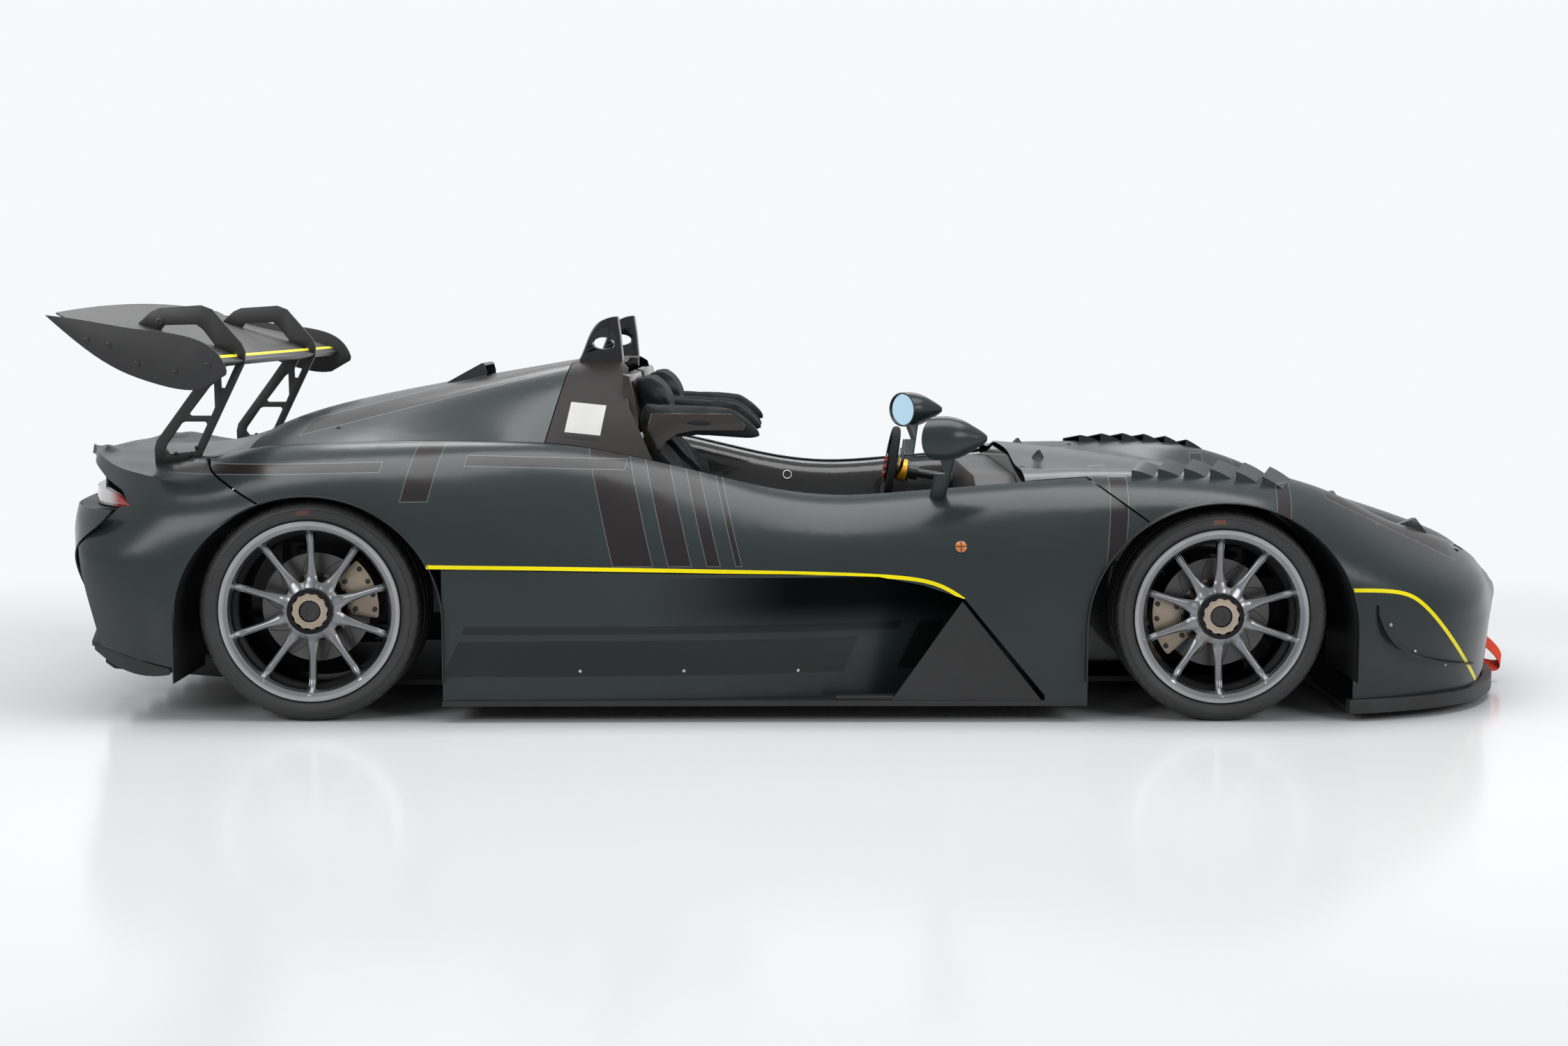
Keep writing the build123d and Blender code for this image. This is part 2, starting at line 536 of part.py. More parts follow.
with BuildPart() as front_clamshell:
    full_skin(through(FRONT_GUIDES), FRONT_STATIONS)
    for side in SIDES.values():
        (x0, z0), (x1, z1) = FRONT_SHUT
        beyond = [(x0, z0 + 2 * GAP), (x1, z1 + 2 * GAP), (x1, -300), (300, -300), (300, z0)]
        side_region(beyond, BONNET_EDGE, 1000, side)
        arch_opening(side, inner=500, **FRONT_ARCH)
    side_region(MOUTH, -1000, 1000)
    with BuildSketch(Plane.XY.offset(SLOT_LOW)):  # slots under the louvres and the nose ducts
        for side in SIDES.values():
            for x in LOUVRE_X:
                with BuildLine():
                    Polyline((x, side * LOUVRE_IN), (x - LOUVRE_SLOT, side * LOUVRE_IN),
                             (x - LOUVRE_SLOT - LOUVRE_SWEEP, side * LOUVRE_OUT),
                             (x - LOUVRE_SWEEP, side * LOUVRE_OUT), close=True)
                make_face()
            with BuildLine():
                Polyline(*[(x, side * w) for x, w in NOSE_DUCT], close=True)
            make_face()
    extrude(amount=400, mode=Mode.SUBTRACT)
    add(headlamps.part, mode=Mode.SUBTRACT)
save(front_clamshell, "front_clamshell")

with BuildPart() as canards:
    for side in SIDES.values():
        with BuildSketch(side_plane(side, 560)):
            with BuildLine():
                ring(CANARD, inset(CANARD, CANARD_THICK))
            make_face()
        extrude(amount=-side * 400)
    with BuildSketch(Plane.XY.offset(FLOOR_TOP)):
        for side in SIDES.values():
            root = [(x, side * (flank(x, z) - 10)) for x, z in CANARD]
            tip = []
            for k, (x, z) in enumerate(CANARD):
                reach = CANARD_REACH * (0.3 + 0.7 * sin(pi * k / (len(CANARD) - 1)))
                tip.append((x, side * (flank(x, z) + reach)))
            with BuildLine():
                ring(root, tip)
            make_face()
    extrude(amount=400, mode=Mode.INTERSECT)
    add(front_clamshell.part, mode=Mode.SUBTRACT)
    drop_offcuts(canards, 2)

with BuildPart() as front_splitter:
    edge = [*SPLITTER, (2092.5, 0), *[(x, -w) for x, w in reversed(SPLITTER)]]
    with BuildSketch(Plane.XY.offset(22)):
        with BuildLine():
            Spline(*edge)
            Line(edge[-1], edge[0])
        make_face()
    extrude(amount=12)
    with BuildSketch(Plane.XY.offset(22)):
        with BuildLine():
            ring(edge, inset(edge, 26))
        make_face()
    extrude(amount=FLOOR_TOP - 22)
    add(canards.part)
save(front_splitter, "front_splitter")

with BuildPart() as front_louvres:
    for side in SIDES.values():
        for x in LOUVRE_X:
            start, end = crest(x, LOUVRE_IN), crest(x - LOUVRE_SWEEP, LOUVRE_OUT)
            rear = crest(x - LOUVRE_REACH, LOUVRE_IN)
            run = Vector(-LOUVRE_SWEEP, side * (LOUVRE_OUT - LOUVRE_IN), end - start)
            roof = [(x, start), (x - 0.5 * LOUVRE_REACH, (start + rear) / 2 + 0.62 * LOUVRE_RISE),
                    (x - LOUVRE_REACH, rear + LOUVRE_RISE)]
            with BuildSketch(side_plane(side, LOUVRE_IN)):
                with BuildLine():
                    Spline(*roof)
                    Polyline(roof[-1], (x - LOUVRE_REACH, rear - 8), (x, start - 8), roof[0])
                make_face()
            extrude(amount=run.length, dir=run.normalized())
            wall = LOUVRE_THICK / (LOUVRE_OUT - LOUVRE_IN)
            hollow = [(px - wall * LOUVRE_SWEEP, pz + wall * (end - start) - LOUVRE_THICK) for px, pz in roof]
            hollow[0] = (hollow[0][0] - 2 * LOUVRE_THICK, hollow[0][1])
            hollow[-1] = (hollow[-1][0] - 5, hollow[-1][1] + 1)
            with BuildSketch(side_plane(side, LOUVRE_IN + LOUVRE_THICK)):
                with BuildLine():
                    Spline(*hollow)
                    Polyline(hollow[-1], (hollow[-1][0], rear - 30), (hollow[0][0], start - 30), hollow[0])
                make_face()
            extrude(amount=run.length * (1 - 2 * wall), dir=run.normalized(), mode=Mode.SUBTRACT)
save(front_louvres, "front_louvres")

with BuildPart() as tail_section:
    full_skin(through(TAIL_GUIDES), TAIL_STATIONS, creases=(5,))
    with Locations((DECK_FRONT, 0, 500)):
        Box(400, 2 * DECK_EDGE + GAP, 1200, align=(Align.MIN, Align.CENTER, Align.CENTER), mode=Mode.SUBTRACT)
    for side in SIDES.values():
        (x0, z0), (x1, z1) = TAIL_SHUT
        ahead = [(x0, z0 - 2 * GAP), (x1, z1 - 2 * GAP), (x1, -300), (-1000, -300), (-1000, 1200), (x0, 1200)]
        side_region(ahead, DECK_EDGE - GAP, 1000, side)
        arch_opening(side, inner=500, **REAR_ARCH)
    side_region([(-2030, 702), (-1925, 648), (-1850, 622), (-1828, 600), (-1850, 575), (-1965, 470),
                 (-1910, pan_height(-1910) + GAP), (-1500, pan_height(-1500) + GAP), (-1500, -200),
                 (-2300, -200), (-2300, 690)], -1000, 1000)
save(tail_section, "tail_section")

with BuildPart() as wheel_arch_liners:
    for side in SIDES.values():
        for arch, inner in ((FRONT_ARCH, 560), (REAR_ARCH, 600)):
            with BuildSketch(side_plane(side, inner)) as band:
                for room, mode in ((LINER_ROOM + LINER, Mode.ADD), (LINER_ROOM, Mode.SUBTRACT)):
                    with Locations((arch["axle"], arch["centre_z"])):
                        Ellipse(arch["half_length"] + room, arch["rise"] + room, mode=mode)
                    with Locations((arch["axle"], arch["centre_z"] / 2)):
                        Rectangle(2 * (arch["half_length"] + room), arch["centre_z"], mode=mode)
                with Locations((arch["axle"], LINER_FOOT)):
                    Rectangle(1000, 2 * LINER_FOOT, align=(Align.CENTER, Align.MAX), mode=Mode.SUBTRACT)
            extrude(band.sketch, amount=LINER_OUT - inner, dir=(0, side, 0))
    for piece in (front_clamshell.part, tail_section.part, channel_panels.part, *side_panels):
        add(piece, mode=Mode.SUBTRACT)
    drop_offcuts(wheel_arch_liners, 4)
save(wheel_arch_liners, "wheel_arch_liners")

with BuildPart() as engine_cover:
    full_skin(cover_profile, (-1528, -1380, -1240, -1100, -920, -780, -620))
    side_region([(x - GAP, z) for x, z in COVER_SHUT] + [(-300, 600), (-300, 1100)], -900, 900)
    side_region(SCOOP, -SCOOP_HALF, SCOOP_HALF, mode=Mode.ADD)
    side_region(SCOOP_INSIDE, SKIN - SCOOP_HALF, SCOOP_HALF - SKIN)
save(engine_cover, "engine_cover")

with BuildPart() as roll_hoops:
    for side in SIDES.values():
        with BuildSketch(side_plane(side, HOOP_W - 35)):
            with BuildLine():
                Line((-622, 900), (-622, 975))
                Spline((-622, 975), (-605, 1014), (-569, 1078), (-539, 1094), (-511, 1098.5))
                Polyline((-511, 1098.5), (-503, 1040), (-497, 975), (-497, 900), (-622, 900))
            make_face()
            with Locations((-553, 1020)):
                Ellipse(32, 17, mode=Mode.SUBTRACT)
        extrude(amount=-side * 70)
save(roll_hoops, "roll_hoops")

with BuildPart() as roll_structure:
    full_skin(cover_profile, (-710, -620, -560, -500, -440, -380), depth=6)
    side_region([*COVER_SHUT, (-1000, 600), (-1000, 1100)], -900, 900)
    side_region([*ROLL_FRONT, (-300, 600), (-300, 1100), (-520, 1100)], -900, 900)
    with BuildSketch(Plane.YZ.offset(-566)) as back:
        with BuildLine():
            Polyline(*mirrored([(440, 948), (594, 852), (700, 742), (690, 640), (600, FLOOR_TOP)]), (0, 962),
                     close=True)
        make_face()
    extrude(amount=14)
    add(roll_hoops.part, mode=Mode.SUBTRACT)
save(roll_structure, "roll_structure")


# ---- tub, floor and structure ----------------------------------------------------------------------
TUB_REAR, TUB_FRONT = -552, 660
TRIM = 10  # thickness of the cockpit's side
FOOT_W = 430
FOOT_FRONT = 1320
FOOT_TOP = 560
WALL = 20
SCUTTLE = [(250, 684), (340, 668), (450, 654), (735, 626), (674, 560), (660, 480), (606, 300),
           (597, FLOOR_TOP)]
GRILLE = [(240, 396), (440, 380), (545, 340), (600, 285), (598, 160), (570, FLOOR_TOP)]
RACK_X = AXLE_F - ARM
RACK_Z = 288 + ARM_RISE
RACK_R = 11
HOUSING_R = 22


def liner_profile(x):
    """The cockpit's side: from under the body's rim, over a rolled edge and down to the floor."""
    w, z = along(RIM, x)
    return [(w + 4, z - 10), (w - 34, z - 10), (w - 70, z - 34), (w - 88, z - 95), (w - 102, z - 180),
            (600, 300), (592, FLOOR_TOP + 30)]


with BuildPart() as monocoque:
    with BuildSketch(Plane.XY.offset(FLOOR_TOP)):
        with Locations(((TUB_FRONT + TUB_REAR) / 2, 0)):
            Rectangle(TUB_FRONT - TUB_REAR, 1194)
    extrude(amount=40)
    for side in SIDES.values():
        side_skin(liner_profile, (TUB_REAR, -440, -300, -90, 116, 300, 500, TUB_FRONT), side, -TRIM)
    with BuildSketch(Plane.YZ.offset(TUB_FRONT - WALL)):  # scuttle with the footwell's mouth
        with BuildLine():
            Polyline(*mirrored(SCUTTLE), close=True)
        make_face()
        with Locations((0, 300)):
            Rectangle(2 * (FOOT_W - WALL), 440, mode=Mode.SUBTRACT)
    extrude(amount=WALL)
    with BuildSketch(Plane.YZ.offset(TUB_FRONT)):
        with Locations((0, (FOOT_TOP + FLOOR_TOP) / 2)):
            RectangleRounded(2 * FOOT_W, FOOT_TOP - FLOOR_TOP, 40)
            RectangleRounded(2 * (FOOT_W - WALL), FOOT_TOP - FLOOR_TOP - 2 * WALL, 30, mode=Mode.SUBTRACT)
    extrude(amount=FOOT_FRONT - TUB_FRONT)
    with BuildSketch(Plane.YZ.offset(FOOT_FRONT - WALL)):
        with Locations((0, (FOOT_TOP + FLOOR_TOP) / 2)):
            RectangleRounded(2 * FOOT_W, FOOT_TOP - FLOOR_TOP, 40)
    extrude(amount=WALL)
    rod((RACK_X, -500, RACK_Z), (RACK_X, 500, RACK_Z), HOUSING_R, Mode.SUBTRACT)
save(monocoque, "monocoque")

with BuildPart() as floor_pan:
    pan = ((PAN_TAIL, 560), (-955, 560), (-955, 918), (-90, 908), (797, 905), (797, 500), (PAN_NOSE, 500))
    with BuildSketch(Plane.XY.offset(FLOOR_TOP - FLOOR_THICK)):
        with BuildLine():
            Polyline(*pan, *[(x, -w) for x, w in reversed(pan)], close=True)
        make_face()
    extrude(amount=FLOOR_THICK)
save(floor_pan, "floor_pan")

with BuildPart() as nose_crash_box:
    with BuildSketch(Plane.YZ.offset(FOOT_FRONT)):
        with Locations((0, 240)):
            RectangleRounded(400, 180, 20)
    with BuildSketch(Plane.YZ.offset(1900)):
        with Locations((0, 240)):
            RectangleRounded(300, 140, 20)
    loft()
save(nose_crash_box, "nose_crash_box")

with BuildPart() as nose_grille:
    with BuildSketch(Plane.YZ.offset(1936)):
        with BuildLine():
            Polyline(*mirrored(GRILLE), close=True)
        make_face()
        with GridLocations(92, 62, 11, 5):
            RectangleRounded(80, 50, 12, mode=Mode.SUBTRACT)
    extrude(amount=6)
save(nose_grille, "nose_grille")

with BuildPart() as rack_housing:
    rod((RACK_X, -440, RACK_Z), (RACK_X, 440, RACK_Z), HOUSING_R)
    rod((RACK_X, -440, RACK_Z), (RACK_X, 440, RACK_Z), RACK_R + 1.5, Mode.SUBTRACT)
save(rack_housing, "rack_housing")

with BuildPart() as steering_rack:
    rod((RACK_X, -490, RACK_Z), (RACK_X, 490, RACK_Z), RACK_R)
    for side in SIDES.values():
        rod((RACK_X, side * 485, RACK_Z), (RACK_X, side * (KINGPIN - 10), RACK_Z), 8)
        rod((RACK_X, side * KINGPIN, RACK_Z - 10), (RACK_X, side * KINGPIN, RACK_Z + 10), LINK_BORE_R + 5)
    for side in SIDES.values():
        eye = [(RACK_X, side * KINGPIN, RACK_Z + rise) for rise in (-12, 12)]
        rod(*eye, LINK_BORE_R, Mode.SUBTRACT)
save(steering_rack, "steering_rack")

for name, axle, hub_z in (("front", AXLE_F, 288), ("rear", AXLE_R, 302)):
    with BuildPart() as wishbones:
        for side in SIDES.values():
            for eye_z in (hub_z + UPPER_EYE, hub_z + LOWER_EYE):
                for reach in (-120, 120):
                    rod((axle + reach, side * 455, eye_z), (axle, side * KINGPIN, eye_z), 11)
                    with BuildSketch(side_plane(side, FOOT_W)):
                        with Locations((axle + reach, eye_z)):
                            RectangleRounded(40, 44, 6)
                    extrude(amount=-side * 36)
                eye_base = (axle, side * KINGPIN, eye_z - EYE_H / 2)
                eye_top = (axle, side * KINGPIN, eye_z + EYE_H / 2)
                rod((axle, side * KINGPIN, eye_z - 30), eye_base, EYE_R + 14, Mode.SUBTRACT)
                rod(eye_top, (axle, side * KINGPIN, eye_z + 30), EYE_R + 14, Mode.SUBTRACT)
                rod(eye_base, eye_top, EYE_R)
                rod(eye_base, eye_top, PIN_R + 0.3, Mode.SUBTRACT)
    save(wishbones, f"wishbones_{name}")

PLATE_W = 420
with BuildPart() as engine_block:
    with BuildSketch(Plane.YZ.offset(-700)):
        with BuildLine():
            Polyline(*mirrored([(180, 600), (300, 520), (300, 220), (190, 120)]), close=True)
        make_face()
    extrude(amount=-500)
    for side in SIDES.values():
        rod((-700, side * 240, 300), (-566, side * 240, 300), 30)
save(engine_block, "engine_block")

with BuildPart() as gearbox:
    with BuildSketch(Plane.YZ.offset(-1200)):
        with Locations((0, 290)):
            RectangleRounded(440, 320, 60)
    with BuildSketch(Plane.YZ.offset(-1650)):
        with Locations((0, 300)):
            RectangleRounded(320, 240, 50)
    loft()
save(gearbox, "gearbox")

with BuildPart() as rear_subframe:
    for side in SIDES.values():
        with BuildSketch(side_plane(side, PLATE_W)):
            with BuildLine():
                Polyline((-1490, 150), (-1140, 150), (-1140, 450), (-1200, 520), (-1430, 520), (-1490, 450),
                         close=True)
            make_face()
            with Locations((AXLE_R, 302)):
                Circle(60, mode=Mode.SUBTRACT)
        extrude(amount=-side * 10)
        for x, z in ((-1240, 200), (-1240, 400), (-1460, 250), (-1460, 380)):
            rod((x, side * 150, z), (x, side * PLATE_W, z), 16)
    add(gearbox.part, mode=Mode.SUBTRACT)
save(rear_subframe, "rear_subframe")

with BuildPart() as driveshafts:
    for side in SIDES.values():
        rod((AXLE_R, side * 150, 302), (AXLE_R, side * 712, 302), 14)
        rod((AXLE_R, side * 230, 302), (AXLE_R, side * 300, 302), 42)
        rod((AXLE_R, side * 640, 302), (AXLE_R, side * 700, 302), 40)
    add(gearbox.part, mode=Mode.SUBTRACT)
save(driveshafts, "driveshafts")

# ---- cockpit ---------------------------------------------------------------------------------------
WHEEL_AT = (317, HOOP_W, 604)
WHEEL_R = 145
COLUMN_SLOPE = -0.1736  # the column's fall for each unit forwards
COLUMN_R = 14
COLUMN_END = 612
DASH_X = 520
SEAT_W = 320  # half distance between the seats' centres
SEAT_HALF = 235
COLLAR_IN, COLLAR_OUT = 200, 262  # half widths of the head restraint's pads


def on_column(x):
    """The point of the steering column's axis at station x."""
    return (x, WHEEL_AT[1], WHEEL_AT[2] + COLUMN_SLOPE * (x - WHEEL_AT[0]))


with BuildPart() as dashboard:
    bar = mirrored([(450, 640), (590, 600), (600, 520), (540, 500)])
    for start, border, mode in ((DASH_X, 0, Mode.ADD), (DASH_X + 12, -12, Mode.SUBTRACT)):
        with BuildSketch(Plane.YZ.offset(start)):
            with BuildLine():
                Polyline(*bar, close=True)
            make_face()
            offset(amount=border, kind=Kind.INTERSECTION, mode=Mode.REPLACE)
        extrude(amount=TUB_FRONT - WALL - start, mode=mode)
    rod(on_column(DASH_X - 20), on_column(DASH_X + 40), COLUMN_R + 22)
    rod(on_column(DASH_X - 40), on_column(DASH_X + 60), COLUMN_R + 0.5, Mode.SUBTRACT)
save(dashboard, "dashboard")

with BuildPart() as steering_wheel:
    wheel_plane = Plane(origin=WHEEL_AT, x_dir=(0, 1, 0), z_dir=Vector(-1, 0, -COLUMN_SLOPE))
    with BuildSketch(wheel_plane):
        Ellipse(WHEEL_R, WHEEL_R - 8)
        Ellipse(WHEEL_R - 27, WHEEL_R - 38, mode=Mode.SUBTRACT)
    extrude(amount=13, both=True)
    fillet(steering_wheel.edges(), 11)
    with BuildSketch(wheel_plane.offset(-8)):
        RectangleRounded(2 * WHEEL_R - 40, 62, 20)
        with Locations((0, -60)):
            Rectangle(40, 110)
        Circle(48)
    extrude(amount=16)
save(steering_wheel, "steering_wheel")

with BuildPart() as steering_column:
    rod(on_column(WHEEL_AT[0] + 8), on_column(COLUMN_END), COLUMN_R)
    rod(on_column(WHEEL_AT[0] + 8), on_column(WHEEL_AT[0] + 60), 32)
    rod(on_column(WHEEL_AT[0] + 60), on_column(WHEEL_AT[0] + 90), 24)
    add(steering_wheel.part, mode=Mode.SUBTRACT)
save(steering_column, "steering_column")

BOLSTER = 40
SEAT_BACK = ((330, 150), (-190, 150), (-290, 190), (-400, 560))
SEAT_FRONT = ((-436, 745), (-392, 745), (-318, 600), (-262, 300), (-190, 218), (140, 250), (330, 190))
BOLSTER_FRONT = ((-436, 745), (-392, 745), (-270, 640), (-200, 420), (-60, 330), (160, 350), (330, 230))
SEAT_SHAPES = (  # side view outline, inner and outer half width from the seat's centre
    (SEAT_FRONT + SEAT_BACK, -SEAT_HALF, SEAT_HALF),
    (BOLSTER_FRONT + SEAT_BACK, -SEAT_HALF, -SEAT_HALF + BOLSTER),
    (BOLSTER_FRONT + SEAT_BACK, SEAT_HALF - BOLSTER, SEAT_HALF),
)
CHEEK = ((-403, 826), (-174, 824), (-134, 789), (-141, 777), (-280, 777), (-328, 767), (-364, 743),
         (-377, 715), (-431, 735))
SHELL_SHAPES = (
    (CHEEK, -COLLAR_OUT - 8, -COLLAR_OUT),
    (CHEEK, COLLAR_OUT, COLLAR_OUT + 8),
    (((-483, 936), (-465, 930), (-441, 828), (-436, 735), (-478, 760)), -COLLAR_OUT, COLLAR_OUT),
)
ROLL = ((-430, 851), (-370, 851), (-279, 848), (-174, 842), (-128, 812), (-92, 779), (-89, 761),
        (-116, 752), (-219, 752), (-280, 750), (-310, 745), (-430, 745))
PAD_SHAPES = (
    (ROLL, -COLLAR_OUT, -COLLAR_IN),
    (ROLL, COLLAR_IN, COLLAR_OUT),
    (((-429, 745), (-381, 745), (-381, 849), (-429, 849)), -COLLAR_IN, COLLAR_IN),
    (((-460, 932), (-409, 940), (-391, 903), (-366, 877), (-366, 800), (-434, 800), (-440, 851)), -155, 155),
)


def side_prisms(shapes):
    """Prisms over side view outlines, for both seats, inside the current BuildPart."""
    for side in SIDES.values():
        for points, inner, outer in shapes:
            side_region(points, SEAT_W + inner, SEAT_W + outer, side, Mode.ADD)


with BuildPart() as seats:
    side_prisms(SEAT_SHAPES)
    with BuildSketch(Plane.XY.offset(FLOOR_TOP + 40)):
        for side in SIDES.values():
            for x in (-150, 250):
                with Locations((x, side * SEAT_W)):
                    Rectangle(60, 300)
    extrude(amount=50)
save(seats, "seats")

with BuildPart() as collar_shells:
    side_prisms(SHELL_SHAPES)
    add(roll_structure.part, mode=Mode.SUBTRACT)
    drop_offcuts(collar_shells, 6)
save(collar_shells, "head_restraint_shells")

with BuildPart() as collar_pads:
    side_prisms(PAD_SHAPES)
    add(collar_shells.part, mode=Mode.SUBTRACT)
save(collar_pads, "head_restraint_pads")

# ---- rear end --------------------------------------------------------------------------------------
BUMPER = (
    (575, ((866, -1856), (700, -1989), (450, -2050), (0, -2085))),
    (520, ((852, -1912), (700, -2004), (450, -2056), (0, -2090))),
    (470, ((797, -1972), (640, -2023), (420, -2064), (0, -2092.5))),
    (330, ((780, -1946), (620, -1998), (400, -2037), (0, -2064))),
    (220, ((765, -1920), (600, -1966), (380, -1998), (0, -2020))),
)
FASCIA_TOP = 662
LAMP_IN = 420
EXHAUST_Z = 300
WING_SPAN = 867
WING_SAG = 25
NECK_W = 484
NECK = ((-1835, 660), (-1837, 719), (-1831, 742), (-1724, 886), (-1654, 983), (-1652, 988), (-1659, 1019),
        (-1690, 1061), (-1709, 1075), (-1801, 1073), (-1818, 1050), (-1887, 1067), (-1838, 1111),
        (-1813, 1122), (-1695, 1130), (-1663, 1118), (-1581, 1022), (-1571, 997), (-1573, 965),
        (-1702, 703), (-1702, 660))
NECK_WINDOWS = (
    ((-1619, 991), (-1596, 991), (-1590, 980), (-1631, 893), (-1642, 894), (-1643, 922), (-1627, 956)),
    ((-1675, 898), (-1662, 908), (-1661, 838), (-1672, 814), (-1731, 814), (-1736, 820)),
    ((-1748, 797), (-1689, 797), (-1684, 790), (-1721, 712), (-1795, 704), (-1806, 719), (-1804, 729),
     (-1758, 793)),
)


def around(half):
    """The whole outline seen from above, from the (width, x) points of its half."""
    return [(x, -w) for w, x in half] + [(x, w) for w, x in reversed(half[:-1])]


with BuildPart() as rear_bumper:
    for z, half in BUMPER:
        with BuildSketch(Plane.XY.offset(z)):
            with BuildLine():
                ring(around(half), inset(around(half), SKIN))
            make_face()
    loft()
    with BuildSketch(Plane.YZ.offset(-2200)):
        with Locations((0, EXHAUST_Z)):
            Ellipse(86, 62)
    extrude(amount=300, mode=Mode.SUBTRACT)
save(rear_bumper, "rear_bumper")

TAIL_LINE = around(BUMPER[0][1])
with BuildPart() as rear_fascia:
    for base, height, first, reach in ((571, FASCIA_TOP - 571, 75, 640), (571, 4, 6, 800)):
        with BuildSketch(Plane.XY.offset(base)):
            with BuildLine():
                ring(inset(TAIL_LINE, first), inset(TAIL_LINE, 80))
            make_face()
            Rectangle(6000, 2 * reach, mode=Mode.INTERSECT)
        extrude(amount=height)
    add(tail_section.part, mode=Mode.SUBTRACT)
    drop_offcuts(rear_fascia, 1)
save(rear_fascia, "rear_fascia")

with BuildPart() as tail_lamps:
    with BuildSketch(Plane.XY.offset(580)):
        with BuildLine():
            ring(inset(TAIL_LINE, 52), inset(TAIL_LINE, 74))
        make_face()
        Rectangle(6000, 2 * LAMP_IN, mode=Mode.SUBTRACT)
    extrude(amount=46)
    above = [(-2100, 700), (-1930, 634), (-1855, 612), (-1800, 580), (-1700, 560), (-1700, 800)]
    side_region(above, -1000, 1000, 1)
    add(tail_section.part, mode=Mode.SUBTRACT)
    drop_offcuts(tail_lamps, 2)
save(tail_lamps, "tail_lamps")


def skirt_profile(x):
    """The diffuser's side skirt: a blade under the tail's lower edge, deepest in its middle."""
    top = pan_height(x) - 4
    w = along(SILL, x)[0] - 12
    return [(w, top), (w - 2, top - 12 - 30 * (1 - ((x + 1820) / 130) ** 2))]


tail_edge = [(x, along(SILL, x)[0] - 12) for x in (-1700, -1791, -1870, -1910, -1950)]
tail_edge = [(PAN_TAIL, 600), (-1699, 600), *tail_edge, (-1996, 560)]

with BuildPart() as rear_diffuser:
    for start, half in ((PAN_TAIL, 600), (-1700, 860)):
        with BuildSketch(side_plane(-1, -half)):
            with BuildLine():
                Polyline((start, pan_height(start)), (-1995, pan_height(-1995)),
                         (-1995, pan_height(-1995) - 12),
                         (start, pan_height(start) - 12), close=True)
            make_face()
        extrude(amount=2 * half)
    for strake in (-520, -300, -100, 100, 300, 520):
        with BuildSketch(side_plane(-1, strake - 3)):
            with BuildLine():
                Polyline((-1400, pan_height(-1400) - 6), (-1985, pan_height(-1985) - 6), (-1985, 104),
                         (-1960, 86),
                         (-1500, 50), (-1400, 48), close=True)
            make_face()
        extrude(amount=6)
    with BuildSketch(Plane.XY):  # in plan it follows the tail
        with BuildLine():
            Polyline(*tail_edge, *[(x, -w) for x, w in reversed(tail_edge)], close=True)
        make_face()
    extrude(amount=400, mode=Mode.INTERSECT)
    for side in SIDES.values():
        side_skin(skirt_profile, (-1702, -1760, -1820, -1880, -1940), side, 5)
save(rear_diffuser, "rear_diffuser")

with BuildPart() as exhaust:
    with BuildSketch(Plane.YZ.offset(-2030)):
        with Locations((-38, EXHAUST_Z), (38, EXHAUST_Z)):
            Circle(34)
    extrude(amount=430)
    with BuildSketch(Plane.YZ.offset(-2030)):
        with Locations((-38, EXHAUST_Z), (38, EXHAUST_Z)):
            Circle(31)
    extrude(amount=200, mode=Mode.SUBTRACT)
    add(gearbox.part, mode=Mode.SUBTRACT)
save(exhaust, "exhaust")

with BuildPart() as crash_beam:
    with BuildSketch(Plane.XY.offset(380)):
        with BuildLine():
            beam = around(((400, -2030), (200, -2056), (0, -2064)))
            ring(beam, inset(beam, 50))
        make_face()
    extrude(amount=70)
    for side in SIDES.values():
        rod((-1650, side * 120, 400), (-2020, side * 260, 415), 22)
    add(gearbox.part, mode=Mode.SUBTRACT)
save(crash_beam, "rear_crash_beam")

# ---- wing ------------------------------------------------------------------------------------------
with BuildPart() as rear_wing:
    for y in (-WING_SPAN, -450, 0, 450, WING_SPAN):
        lift = WING_SAG * (1 - (y / WING_SPAN) ** 2)
        with BuildSketch(Plane.XZ.offset(-y)):
            with BuildLine():
                front, rear = (-1574, 973), (-1987, 1110 + lift)
                Spline(front, (-1640, 1007), (-1760, 1040 + lift / 3), rear)
                Line(rear, (rear[0] + 1, rear[1] - 5))
                Spline((rear[0] + 1, rear[1] - 5), (-1780, 1010 + lift / 3), (-1640, 969),
                       (-1590, 960), front,
                       tangents=((1, -0.5), (0.2, 1)))
            make_face()
    loft()
save(rear_wing, "rear_wing")

with BuildPart() as endplates:
    for side in SIDES.values():
        with BuildSketch(side_plane(side, WING_SPAN)):
            with BuildLine():
                Spline((-2015, 1103), (-1893, 1086), (-1780, 1067), (-1655, 1050), (-1587, 1027),
                       (-1530, 954))
                Line((-1530, 954), (-1532, 942))
                Line((-1532, 942), (-1599, 903))
                Spline((-1599, 903), (-1629, 901), (-1710, 915), (-1829, 960), (-1935, 1033), (-2015, 1103))
            make_face()
        extrude(amount=-side * 8)
save(endplates, "wing_endplates")

with BuildPart() as swan_necks:
    for side in SIDES.values():
        with BuildSketch(side_plane(side, NECK_W - 7)):
            with BuildLine():
                Polyline(*NECK, close=True)
            make_face()
            for points in NECK_WINDOWS:
                with BuildLine():
                    Polyline(*points, close=True)
                make_face(mode=Mode.SUBTRACT)
        extrude(amount=-side * 14)
    add(rear_wing.part, mode=Mode.SUBTRACT)
    add(tail_section.part, mode=Mode.SUBTRACT)
    drop_offcuts(swan_necks, 2)
save(swan_necks, "swan_necks")

